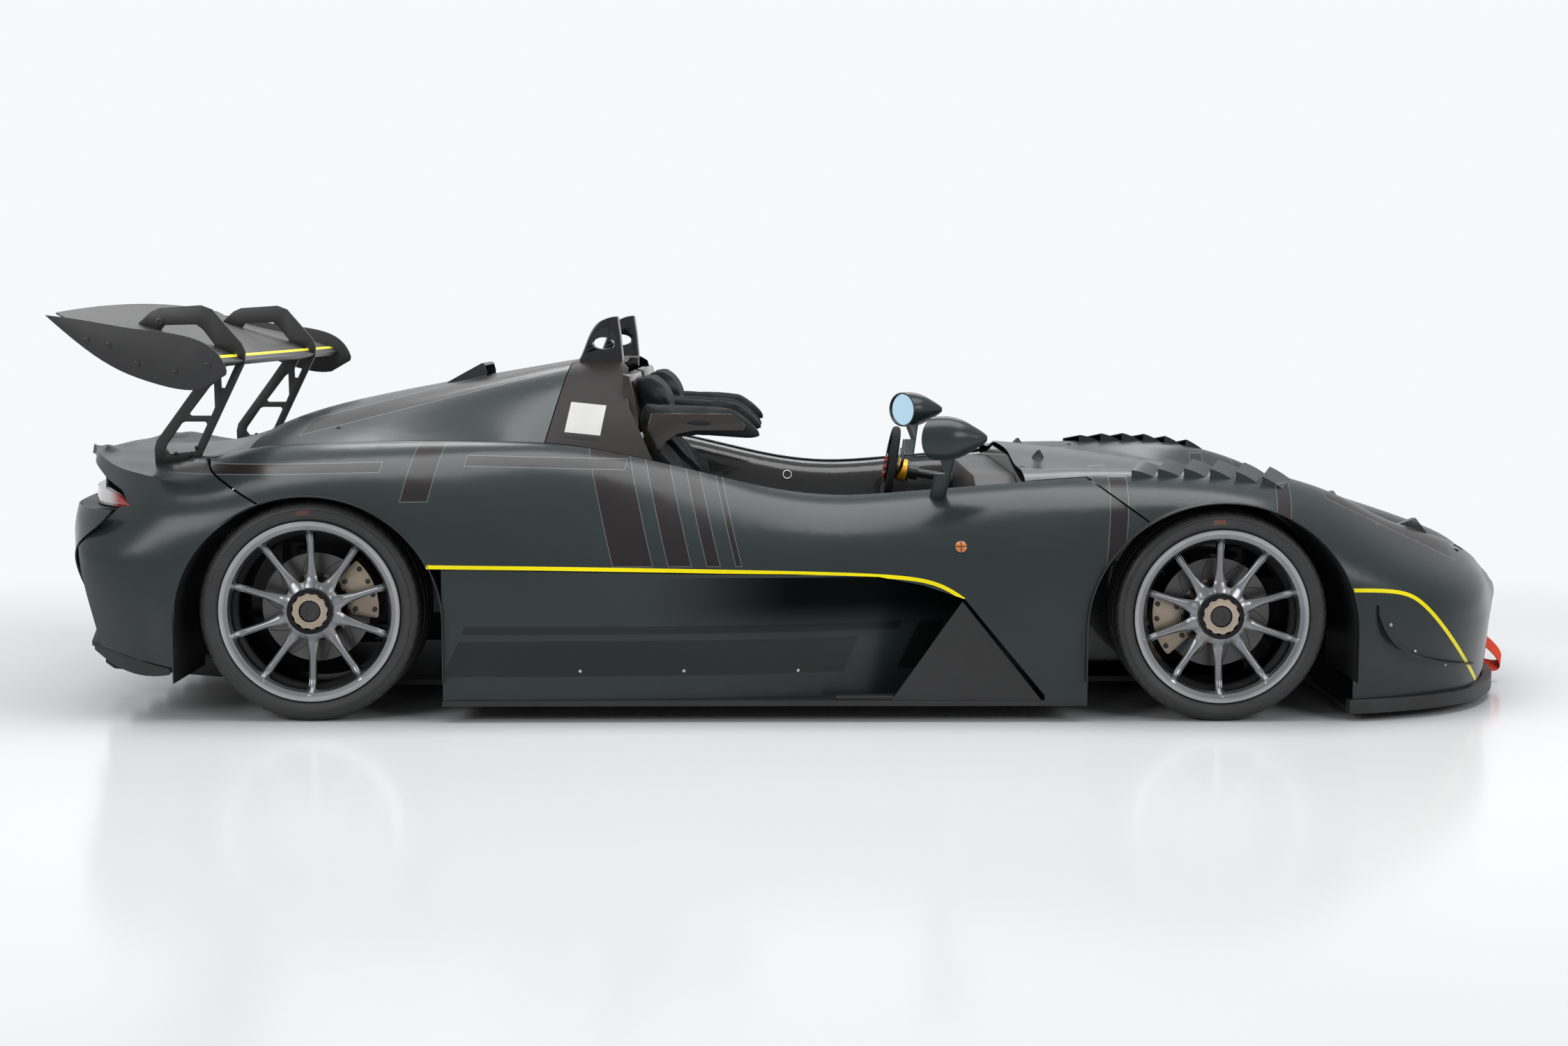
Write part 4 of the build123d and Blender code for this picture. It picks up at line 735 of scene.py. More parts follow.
@dataclass(frozen=True)
class Rubber(Finish):
    """Tyre rubber: sidewall ribs, notches across the tread's shoulders with painted shade in them, and a plain
    rust-coloured patch.

    A place up the sidewall is 0 at the rim and 1 at the tread, and a turn is 0 to 1 round the tyre. A band is
    its middle and its half width.

    Attributes:
        notches: Notches round each shoulder.
        skew: How far a notch turns for each metre across the tread, in notches.
        share: Share of the shoulder that a notch takes.
        shoulder: Place from which the notches begin.
        crown: Middle of the tread across the car, and the half width left without notches.
        notch_shade: The colour of the painted shade in the notches.
        cut_depth: Their depth in the height.
        ribs: Ribs up the sidewall, and the band that they fill.
        serrations: Serrations round the sidewall, and the band that they fill.
        patch: The patch's band up the sidewall and its band of turn.
        patch_face: Distance from the centre line from which the patch shows.
        rust: The patch's colour.
    """

    notches: float = 54.0
    skew: float = 24.0
    share: float = 0.22
    shoulder: float = 0.80
    crown: Range = (0.785, 0.072)
    notch_shade: Colour = (0.003, 0.003, 0.003)
    cut_depth: float = 6.0
    ribs: tuple[float, Range] = (26.0, (0.2, 0.09))
    serrations: tuple[float, Range] = (420.0, (0.66, 0.05))
    patch: tuple[Range, Range] = ((0.42, 0.13), (0.757, 0.010))
    patch_face: float = 0.88
    rust: Colour = (0.09, 0.028, 0.014)

    def dress(self, tree: Tree, shader: bpy.types.Node) -> None:
        """Add the rubber's nodes.

        Args:
            tree: The material's tree.
            shader: Its Principled BSDF.
        """
        group, polar = self.grained(tree), tree.effect(Groups.polar())
        turn, rise, width = (polar.outputs[name] for name in ("Turn", "Rise", "Width"))
        across = tree.math("ABSOLUTE", tree.math("SUBTRACT", width, self.crown[0]))
        swept = tree.math("MULTIPLY_ADD", turn, self.notches, tree.times(width, self.skew))
        notch = tree.times(tree.math("LESS_THAN", tree.math("FRACT", swept), self.share),
                           tree.math("GREATER_THAN", rise, self.shoulder),
                           tree.math("GREATER_THAN", across, self.crown[1]))
        ribs, serrated = (tree.times(tree.wave(value, count), tree.within(rise, *band))
                          for value, (count, band) in ((rise, self.ribs), (turn, self.serrations)))
        height = tree.math("SUBTRACT", tree.math("ADD", ribs, serrated), tree.times(notch, self.cut_depth))
        height = tree.math("ADD", height, tree.times(group.outputs["Height"], 0.4))
        patch = tree.times(tree.within(rise, *self.patch[0]), tree.within(turn, *self.patch[1]),
                           tree.math("GREATER_THAN", width, self.patch_face))
        # The notches take painted shade; the patch is the rubber's own colour.
        colour = tree.mix(patch, tree.mix(notch, self.colour, self.notch_shade), self.rust)
        self.tint(tree, shader, group, colour)
        self.emboss(tree, shader, height, 0.001)


@dataclass(frozen=True)
class ForgedRim(Finish):
    """Forged alloy whose flange lip is turned bright, with painted shade in its barrel and in the recess round
    the centre lock.

    Attributes:
        lip: The lip's colour.
        lip_rise: Where the lip begins and is full, as a place up the sidewall.
        barrel: Colour of the painted shade in the barrel and in the recess round the centre lock.
        barrel_width: Distances from the centre line where the painted shade in the barrel is full and where it
            ends.
        collar: Radii of the recess round the centre lock that takes the same painted shade.
    """

    lip: Colour = (0.34, 0.34, 0.35)
    lip_rise: Range = (-0.28, -0.17)
    barrel: Colour = (0.018, 0.018, 0.019)
    barrel_width: Range = (0.812, 0.838)
    collar: Range = (0.0475, 0.0618)

    def dress(self, tree: Tree, shader: bpy.types.Node) -> None:
        """Add the rim's nodes.

        Args:
            tree: The material's tree.
            shader: Its Principled BSDF.
        """
        group, polar = self.grained(tree), tree.effect(Groups.polar())
        # Painted shade: the deep barrel and the recess round the centre lock take the shade colour.
        deep = tree.ramp(polar.outputs["Width"], *self.barrel_width, 1.0, 0.0)
        dark = tree.math("MAXIMUM", deep, tree.between(polar.outputs["Radius"], self.collar))
        bright = tree.mix(tree.ramp(polar.outputs["Rise"], *self.lip_rise), self.colour, self.lip)
        self.tint(tree, shader, group, tree.mix(dark, bright, self.barrel))
        self.emboss(tree, shader, group.outputs["Height"])


@dataclass(frozen=True)
class GroundDisc(Finish):
    """Brake disc iron: turned faces, curved grooves with painted shade in them, and a brown carrier inside.

    Attributes:
        grooves: Grooves round the disc.
        sweep: How far a groove turns for each metre of radius, in grooves.
        share: Share of the face that a groove takes.
        face: Radii of the grooved face.
        groove: The colour of the painted shade in the grooves.
        rings: Turned rings to the metre of radius.
        carrier: The carrier's colour.
        carrier_edge: The carrier's radius.
        bobbins: Bobbins round the carrier, and the share of the belt that they take.
        belt: Middle radius of the bobbins' belt and its half width.
        bobbin: The bobbins' colour.
    """

    grooves: float = 10.0
    sweep: float = 9.0
    share: float = 0.035
    face: Range = (0.102, 0.144)
    groove: Colour = (0.03, 0.027, 0.025)
    rings: float = 1500.0
    carrier: Colour = (0.060, 0.045, 0.036)
    carrier_edge: float = 0.0945
    bobbins: Range = (20.0, 0.24)
    belt: Range = (0.0895, 0.0045)
    bobbin: Colour = (0.28, 0.27, 0.25)

    def dress(self, tree: Tree, shader: bpy.types.Node) -> None:
        """Add the disc's nodes.

        Args:
            tree: The material's tree.
            shader: Its Principled BSDF.
        """
        group, polar = self.grained(tree), tree.effect(Groups.polar())
        radius, turn = polar.outputs["Radius"], polar.outputs["Turn"]
        swept = tree.math("MULTIPLY_ADD", turn, self.grooves, tree.times(radius, self.sweep))
        groove = tree.times(tree.math("LESS_THAN", tree.math("FRACT", swept), self.share),
                            tree.between(radius, self.face))
        count, part = self.bobbins
        bobbin = tree.times(tree.math("LESS_THAN", tree.wave(turn, count), part),
                            tree.within(radius, *self.belt))
        colour = tree.mix(tree.math("LESS_THAN", radius, self.carrier_edge), self.colour, self.carrier)
        # Painted shade in the grooves.
        colour = tree.mix(groove, tree.mix(bobbin, colour, self.bobbin), self.groove)
        self.tint(tree, shader, group, colour)
        self.emboss(tree, shader, tree.math("SUBTRACT", tree.times(tree.wave(radius, self.rings), 0.25),
                                            tree.times(groove, 2.0)))


@dataclass(frozen=True)
class Suede(Finish):
    """Microfibre suede with sewn lines at set distances from each seat's centre, each darkened across its
    hollow by painted shade.

    Attributes:
        seat: Half the distance between the seats' centres.
        sewn: Half widths of the sewn lines from a seat's centre.
        seam: How far a sewn line's hollow reaches to each side.
        thread: The sewn lines' colour, which the painted shade across each seam's hollow darkens towards.
        sheen: Sheen weight.
        sheen_roughness: The sheen's roughness.
    """

    seat: float = 0.320
    sewn: tuple[float, ...] = (0.085, 0.17)
    seam: float = 0.004
    thread: Colour = (0.006, 0.006, 0.007)
    sheen: float = 0.06
    sheen_roughness: float = 0.4

    def dress(self, tree: Tree, shader: bpy.types.Node) -> None:
        """Add the suede's nodes.

        Args:
            tree: The material's tree.
            shader: Its Principled BSDF.
        """
        shader.inputs["Sheen Weight"].default_value = self.sheen
        shader.inputs["Sheen Roughness"].default_value = self.sheen_roughness
        group = self.grained(tree)
        parts = tree.parts()
        across = tree.math("ABSOLUTE", tree.math("SUBTRACT", tree.math("ABSOLUTE", parts[1]), self.seat))
        colour: object = self.colour
        height = tree.times(group.outputs["Height"], 0.5)
        for line in self.sewn:
            off = tree.math("ABSOLUTE", tree.math("SUBTRACT", across, line))
            # Painted shade across the seam's hollow, darkest on the sewn line.
            seam = tree.ramp(off, 0.0, self.seam, 1.0, 0.0)
            colour = tree.mix(tree.times(seam, 0.7), colour, self.thread)
            height = tree.math("SUBTRACT", height, tree.times(seam, 3.0))
        self.tint(tree, shader, group, colour)
        self.emboss(tree, shader, height, 0.001)


SLATE = (0.0190, 0.0262, 0.0268)
SIDE_LINE = TrimLine(0.4120, -0.0165, 0.410, 0.080, 0.475, -0.992, 0.462)
NOSE_LINE = TrimLine(0.366, 0.0, 1.705, 0.060, 0.62, 1.512, 1.940)
WING_LINE = TrimLine(0.0, 0.0, 10.0, 0.1, 0.5, -1.604, -1.592, half=2.0, reach=0.0)
TAIL_BLOCK = Block(-1.880, -1.260, 0.700, 0.728, 0.20, 0.02)
FLANK_BLOCKS = (
    *(Block(start, end, 0.425, 0.80, -0.25)
      for start, end in ((-0.385, -0.275), (-0.235, -0.170), (-0.130, -0.092), (-0.052, -0.034))),
    Block(0.800, 0.850, 0.06, 0.66, 0.10),
    Block(1.150, 1.195, 0.535, 0.64, 0.28),
    Block(1.480, 1.525, 0.520, 0.63, 0.28),
    Block(1.475, 1.885, 1.281, 1.345, 0.0, -0.464, 0.505),
    Block(-1.185, -1.110, 0.600, 0.780, 0.20),
    Block(-1.040, -0.600, 0.664, 0.694, 0.20, -0.03),
    TAIL_BLOCK,
)
SILL_BLOCKS = (
    Block(-1.010, 0.080, 0.125, 0.222, 0.45),
    Block(-1.010, 0.180, 0.240, 0.262, 0.45),
    Block(0.230, 0.300, 0.125, 0.262, 0.45),
)
PAINT = BodyPaint("body_paint", SLATE, 0.25, grain=0.02, drift=0.05, specular=0.30, blocks=FLANK_BLOCKS,
                  lines=(SIDE_LINE, NOSE_LINE))
# The sill's hollow is painted shade under the side line, strongest towards the front.
SILL_PAINT = replace(PAINT, name="sill_paint", dark=(0.0085, 0.0095, 0.0095), border=(0.010, 0.011, 0.011),
                     blocks=SILL_BLOCKS, lines=(SIDE_LINE,), hollow=(-0.45, 0.02, 0.20, 0.33))
COVER_PAINT = replace(PAINT, name="cover_paint", blocks=(Block(-1.560, -0.760, 1.112, 1.152, 0.2, 0.25),),
                      lines=())
TAIL_PAINT = replace(PAINT, name="tail_paint", blocks=(TAIL_BLOCK,), lines=(), lengthwise=(0.0, 0.25))
WING_SKIN = BodyPaint("wing_skin", (0.014, 0.014, 0.0135), 0.42, coat=0.1, grain=0.0, drift=0.05,
                      specular=0.35, lines=(WING_LINE,))
CARBON = Weave("carbon_gloss", (0.006, 0.006, 0.0065), 0.25, coat=0.35, grain=0.15, drift=0.1, specular=0.3,
               light=(0.014, 0.014, 0.015))
CARBON_MATT = Weave("carbon_matt", (0.012, 0.012, 0.0125), 0.5, grain=0.2, specular=0.4,
                    light=(0.019, 0.019, 0.020))
CARBON_BROWN = LabelledWeave("carbon_brown", (0.0075, 0.0066, 0.0062), 0.45, grain=0.2, drift=0.1,
                             specular=0.14, light=(0.018, 0.015, 0.014), threads=380.0,
                             sticker=Block(-0.7635, -0.657, 0.714, 0.801, 0.155, -0.095),
                             strip=Block(-0.7635, -0.657, 0.696, 0.712, 0.155, -0.095))
CARBON_BRONZE = Weave("carbon_bronze", (0.016, 0.0125, 0.0085), 0.2, coat=0.45, specular=0.3,
                      light=(0.024, 0.0185, 0.0125))
BLACK = Finish("satin_black", (0.011, 0.011, 0.0115), 0.45, grain=0.06)
GLOSS_BLACK = Finish("gloss_black", (0.005, 0.005, 0.006), 0.2, coat=0.3, grain=0.01, specular=0.3)
RUBBER = Rubber("tyre_rubber", (0.015, 0.015, 0.0155), 0.55, grain=0.5, fine=500.0, drift=0.3)
GUNMETAL = ForgedRim("gunmetal_alloy", (0.205, 0.208, 0.215), 0.33, metallic=1.0, grain=0.03, drift=0.1)
CHAMPAGNE = Finish("champagne_anodised", (0.36, 0.30, 0.235), 0.36, metallic=1.0, grain=0.08, fine=600.0)
CALIPER = Finish("caliper_anodised", (0.27, 0.225, 0.175), 0.42, metallic=0.85, grain=0.12, fine=600.0,
                 drift=0.25)
DISC = GroundDisc("ground_disc", (0.085, 0.083, 0.081), 0.34, metallic=1.0, grain=0.35, fine=1400.0)
ALLOY = Finish("milled_alloy", (0.5, 0.5, 0.51), 0.35, metallic=1.0, grain=0.1)
STEEL = Finish("black_steel", (0.035, 0.035, 0.035), 0.4, metallic=0.6, grain=0.08)
CAST = Finish("cast_alloy", (0.2, 0.2, 0.2), 0.6, metallic=0.9, grain=0.5, fine=350.0)
TINTED = Finish("heat_tinted_steel", (0.3, 0.25, 0.2), 0.3, metallic=1.0)
SUEDE = Suede("dark_suede", (0.0150, 0.0180, 0.0190), 0.9, grain=0.5, fine=1500.0, drift=0.3, specular=0.12)
GRIP = Finish("grip_suede", (0.016, 0.017, 0.017), 0.9, grain=0.6, fine=1500.0, drift=0.3, specular=0.15)
YELLOW = Finish("yellow_anodised", (0.80, 0.40, 0.01), 0.38, metallic=0.3, grain=0.05, drift=0.1)
STRAP = Finish("red_webbing", (0.62, 0.045, 0.012), 0.7, grain=0.6, fine=1200.0)
RED_LENS = Glass("red_lens", (0.42, 0.022, 0.018), 0.12, coat=0.5, clear=0.25, grain=0.3,
                 rear=(0.62, 0.60, 0.60), station=-1.868)
CLEAR_LENS = Glass("clear_lens", (0.035, 0.037, 0.04), 0.07, coat=1.0, clear=0.1, grain=0.1)
AMBER_LENS = Glass("amber_lens", (0.62, 0.17, 0.015), 0.15, coat=0.5, clear=0.15, grain=0.4)
MIRROR = Finish("mirror_glass_face", (0.50, 0.72, 0.86), 0.04, metallic=1.0, grain=0.0, drift=0.02)
BUTTONS = Finish("button_caps", (0.35, 0.03, 0.02), 0.4, coat=0.3, grain=0.02)


# ---- mesh tools ------------------------------------------------------------------------------------
def deselect() -> None:
    """Leave object mode with nothing selected."""
    if bpy.context.object is not None and bpy.context.object.mode != "OBJECT":
        bpy.ops.object.mode_set(mode="OBJECT")
    bpy.ops.object.select_all(action="DESELECT")


def choose(*pieces: bpy.types.Object) -> None:
    """Select some pieces alone and make the first one active.

    Args:
        *pieces: The pieces.
    """
    deselect()
    for piece in pieces:
        piece.select_set(True)
    bpy.context.view_layer.objects.active = pieces[0]


def modify(piece: bpy.types.Object, kind: str, **values: object) -> None:
    """Add a modifier and apply it.

    Args:
        piece: The object.
        kind: The modifier's type.
        **values: Its settings.
    """
    choose(piece)
    made = piece.modifiers.new(kind.lower(), kind)
    for name, value in values.items():
        setattr(made, name, value)
    bpy.ops.object.modifier_apply(modifier=made.name)


def rounded(piece: bpy.types.Object, width: float, degrees: float = 30.0, segments: int = 2) -> None:
    """Round a piece's sharp edges.

    Args:
        piece: The object.
        width: Width of the rounded edges.
        degrees: Edges less sharp than this stay as they are.
        segments: Faces across a rounded edge.
    """
    modify(piece, "BEVEL", width=width, segments=segments, limit_method="ANGLE",
           angle_limit=math.radians(degrees))


def smooth(piece: bpy.types.Object, degrees: float = 30.0) -> None:
    """Shade a piece smooth, with edges sharper than the angle kept hard."""
    choose(piece)
    bpy.ops.object.shade_smooth_by_angle(angle=math.radians(degrees))


def finished(piece: bpy.types.Object, finish: Finish, body: str,
             replaces: Sequence[str] = ()) -> bpy.types.Object:
    """Give a piece its material, its body and the nodes it stands for, and report it.

    Args:
        piece: The object, at the origin.
        finish: Its finish.
        body: The body it rides on.
        replaces: The CAD nodes it stands for.

    Returns:
        The piece.
    """
    piece.data.name = piece.name
    piece.data.materials.clear()
    piece.data.materials.append(finish.material())
    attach(piece, body)
    if replaces:
        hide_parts(*replaces)
    LOG.info("%s rides on %s", piece.name, body)
    return piece


def primitive(kind: str, name: str, **values: object) -> bpy.types.Object:
    """Add a mesh primitive with nothing else selected, and put its place and size into its mesh.

    Args:
        kind: The primitive, as its operator names it.
        name: The new object's name.
        **values: The operator's own values.

    Returns:
        The new object, at the origin, unturned and unscaled.
    """
    deselect()
    getattr(bpy.ops.mesh, f"primitive_{kind}_add")(**values)
    piece = bpy.context.object
    piece.name = name
    bpy.ops.object.transform_apply(location=True, rotation=True, scale=True)
    return piece


def copied(packed: bpy.types.Object, name: str) -> bpy.types.Object:
    """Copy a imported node's mesh into a new piece.

    Args:
        packed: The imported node's object.
        name: The new piece's name.

    Returns:
        The new piece.
    """
    piece = bpy.data.objects.new(name, packed.data.copy())
    bpy.context.scene.collection.objects.link(piece)
    return piece


def pick(piece: bpy.types.Object, wanted: Callable[[Vector, Vector], bool]) -> None:
    """Enter edit mode with some faces selected.

    Args:
        piece: The object.
        wanted: Says of a face's centre and normal whether it is selected.
    """
    choose(piece)
    bpy.ops.object.mode_set(mode="EDIT")
    bpy.ops.mesh.select_mode(type="FACE")
    bpy.ops.mesh.select_all(action="DESELECT")
    bpy.ops.object.mode_set(mode="OBJECT")
    for face in piece.data.polygons:
        face.select = wanted(face.center, face.normal)
    bpy.ops.object.mode_set(mode="EDIT")


def mend(piece: bpy.types.Object) -> bpy.types.Object:
    """Merge a piece's doubled points and turn its faces outwards.

    Args:
        piece: The object.

    Returns:
        The piece.
    """
    choose(piece)
    bpy.ops.object.mode_set(mode="EDIT")
    bpy.ops.mesh.select_mode(type="VERT")
    bpy.ops.mesh.select_all(action="SELECT")
    bpy.ops.mesh.remove_doubles(threshold=DOUBLED)
    bpy.ops.mesh.normals_make_consistent(inside=False)
    bpy.ops.object.mode_set(mode="OBJECT")
    return piece


def traced(name: str, points: Sequence[Point]) -> bpy.types.Object:
    """Trace a closed outline by extruding one point from corner to corner.

    Args:
        name: The new object's name.
        points: The outline's corners.

    Returns:
        The outline, in edit mode and selected all over.
    """
    piece = primitive("plane", name, size=0.001, location=points[0])
    bpy.ops.object.mode_set(mode="EDIT")
    bpy.ops.mesh.select_mode(type="VERT")
    bpy.ops.mesh.select_all(action="SELECT")
    bpy.ops.mesh.merge(type="CENTER")
    for here, there in zip(points, (*points[1:], points[0])):
        step = tuple(b - a for a, b in zip(here, there))
        bpy.ops.mesh.extrude_region_move(TRANSFORM_OT_translate={"value": step})
    bpy.ops.mesh.select_all(action="SELECT")
    bpy.ops.mesh.remove_doubles(threshold=DOUBLED / 2)
    return piece


def turned(name: str, axle: float, hub: float, outline: Sequence[tuple[float, float]],
           steps: int = 96) -> bpy.types.Object:
    """Turn a closed outline about a wheel's axle.

    Args:
        name: The new object's name.
        axle: The axle's X.
        hub: The axle's height.
        outline: Points of place along Y and radius.
        steps: Steps of the turn.

    Returns:
        The turned piece.
    """
    piece = traced(name, [(axle, y, hub + radius) for y, radius in outline])
    bpy.ops.mesh.spin(steps=steps, angle=2 * math.pi, center=(axle, 0.0, hub), axis=(0.0, 1.0, 0.0))
    bpy.ops.object.mode_set(mode="OBJECT")
    return mend(piece)


def plate(name: str, points: Sequence[Point], thickness: Point, bevel: float = 0.0015) -> bpy.types.Object:
    """A plate: a traced outline, filled and extruded, with its edges rounded.

    Args:
        name: The new object's name.
        points: The outline's corners.
        thickness: The way and length of the extrusion.
        bevel: Width of the rounded edges.

    Returns:
        The plate.
    """
    piece = traced(name, points)
    bpy.ops.mesh.edge_face_add()
    bpy.ops.mesh.extrude_region_move(TRANSFORM_OT_translate={"value": thickness})
    bpy.ops.object.mode_set(mode="OBJECT")
    mend(piece)
    rounded(piece, bevel)
    smooth(piece, 35)
    return piece


def joined(parts: Sequence[bpy.types.Object], name: str) -> bpy.types.Object:
    """Join parts into the first of them.

    Args:
        parts: The parts.
        name: The joined piece's name.

    Returns:
        The joined piece.
    """
    choose(*parts)
    if len(parts) > 1:
        bpy.ops.object.join()
    parts[0].name = name
    return parts[0]


def stamped(master: bpy.types.Object, name: str, places: Sequence[Matrix]) -> bpy.types.Object:
    """Copy a master to every place and join the copies; the master is removed.

    Args:
        master: The piece that repeats.
        name: The joined piece's name.
        places: Each copy's place.

    Returns:
        The joined piece.
    """
    copies = []
    for matrix in places:
        copy = bpy.data.objects.new(name, master.data.copy())
        copy.data.transform(matrix)
        bpy.context.scene.collection.objects.link(copy)
        copies.append(copy)
    bpy.data.objects.remove(master)
    return joined(copies, name)


def standing(place: Vector, normal: Vector) -> Matrix:
    """The place of a small part whose foot is at a point and whose top faces along a normal."""
    return Matrix.Translation(place) @ normal.to_track_quat("Z", "Y").to_matrix().to_4x4()


class Skin:
    """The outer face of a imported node, on which small parts are seated."""

    def __init__(self, node: str) -> None:
        """Read the mesh of a CAD node."""
        mesh = frame["nodes"][node].data
        self.tree = BVHTree.FromPolygons([vertex.co for vertex in mesh.vertices],
                                         [face.vertices for face in mesh.polygons])

    def seat(self, start: Point, direction: Point) -> tuple[Vector, Vector]:
        """Where a ray first meets the skin.

        Args:
            start: The ray's start.
            direction: Its direction.

        Returns:
            The point and the normal that faces the ray.
        """
        place, normal, _, _ = self.tree.ray_cast(Vector(start), Vector(direction))
        if normal.dot(Vector(direction)) > 0:
            normal = -normal
        return place, normal

    def beside(self, x: float, z: float, side: int) -> tuple[Vector, Vector]:
        """The seat at a station and height, met from outside."""
        return self.seat((x, 3.0 * side, z), (0.0, -side, 0.0))

    def above(self, x: float, y: float) -> tuple[Vector, Vector]:
        """The seat at a place in plan, met from above."""
        return self.seat((x, y, 3.0), (0.0, 0.0, -1.0))


def owner(node: str) -> str:
    """The body that holds a CAD node."""
    bodies = frame["record"]["behaviour"]["bodies"]
    return next(body for body, nodes in bodies.items() if node in nodes)


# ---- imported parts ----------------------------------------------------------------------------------
@dataclass
class Dressing:
    """How a CAD node is shown: a merged and smoothed copy in its finish.

    Attributes:
        node: The CAD node, or the start of the names of several where it ends with an underscore.
        finish: Its finish.
        bevel: Width of the copy's rounded edges in metres, 0 for none.
        angle: Edges sharper than this many degrees are rounded or stay hard.
    """

    node: str
    finish: Finish
    bevel: float = 0.0
    angle: float = 30.0

    def build(self) -> None:
        """Dress every node whose name matches."""
        for name, packed in frame["nodes"].items():
            if name == self.node or (self.node.endswith("_") and name.startswith(self.node)):
                self.copy(name, packed)

    def copy(self, name: str, packed: bpy.types.Object) -> None:
        """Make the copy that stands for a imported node.

        Args:
            name: The node's name.
            packed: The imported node's object.
        """
        piece = copied(packed, name + "_skin")
        choose(piece)
        bpy.ops.mesh.customdata_custom_splitnormals_clear()
        bpy.ops.object.mode_set(mode="EDIT")
        bpy.ops.mesh.select_all(action="SELECT")
        bpy.ops.mesh.remove_doubles(threshold=DOUBLED)
        bpy.ops.object.mode_set(mode="OBJECT")
        if self.bevel:
            rounded(piece, self.bevel, self.angle)
        smooth(piece, self.angle)
        finished(piece, self.finish, owner(name), [name])


DRESSINGS = (
    Dressing("front_clamshell", PAINT),
    Dressing("side_panel_left", PAINT),
    Dressing("side_panel_right", PAINT),
    Dressing("channel_panels", SILL_PAINT),
    Dressing("tail_section", TAIL_PAINT),
    Dressing("engine_cover", COVER_PAINT),
    Dressing("rear_bumper", TAIL_PAINT),
    Dressing("rear_fascia", BLACK),
    Dressing("roll_structure", CARBON_BROWN),
    Dressing("roll_hoops", GLOSS_BLACK, bevel=0.014, angle=35),
    Dressing("monocoque", CARBON),
    Dressing("floor_pan", CARBON_MATT),
    Dressing("front_splitter", CARBON_MATT, bevel=0.002),
    Dressing("rear_diffuser", CARBON_MATT, bevel=0.0015),
    Dressing("nose_crash_box", CARBON_MATT),
    Dressing("nose_grille", BLACK, bevel=0.001),
    Dressing("bargeboards", CARBON_MATT, bevel=0.0015),
    Dressing("front_louvres", PAINT),
    Dressing("wheel_arch_liners", BLACK),
    Dressing("rear_wing", WING_SKIN, angle=40),
    Dressing("wing_endplates", CARBON_MATT, bevel=0.002),
    Dressing("swan_necks", BLACK, bevel=0.002),
    Dressing("mirrors", PAINT, angle=40),
    Dressing("mirror_glass", MIRROR),
    Dressing("headlamps", CLEAR_LENS),
    Dressing("tail_lamps", RED_LENS, bevel=0.003),
    Dressing("dashboard", CARBON_MATT, bevel=0.004),
    Dressing("steering_column", STEEL),
    Dressing("steering_wheel", GRIP, bevel=0.002),
    Dressing("steering_rack", STEEL),
    Dressing("rack_housing", ALLOY),
    Dressing("wishbones_front", STEEL),
    Dressing("wishbones_rear", STEEL),
    Dressing("knuckle_", ALLOY),
    Dressing("knuckles_rear", ALLOY),
    Dressing("caliper_", CALIPER, bevel=0.003),
    Dressing("calipers_rear", CALIPER, bevel=0.003),
    Dressing("brake_disc_", DISC),
    Dressing("rim_", GUNMETAL, bevel=0.0018, angle=28),
    Dressing("engine_block", CAST, bevel=0.006),
    Dressing("gearbox", CAST),
    Dressing("rear_subframe", STEEL, bevel=0.002),
    Dressing("driveshafts", STEEL),
    Dressing("exhaust", TINTED),
    Dressing("rear_crash_beam", ALLOY),
    Dressing("head_restraint_shells", CARBON_BRONZE, bevel=0.002),
)


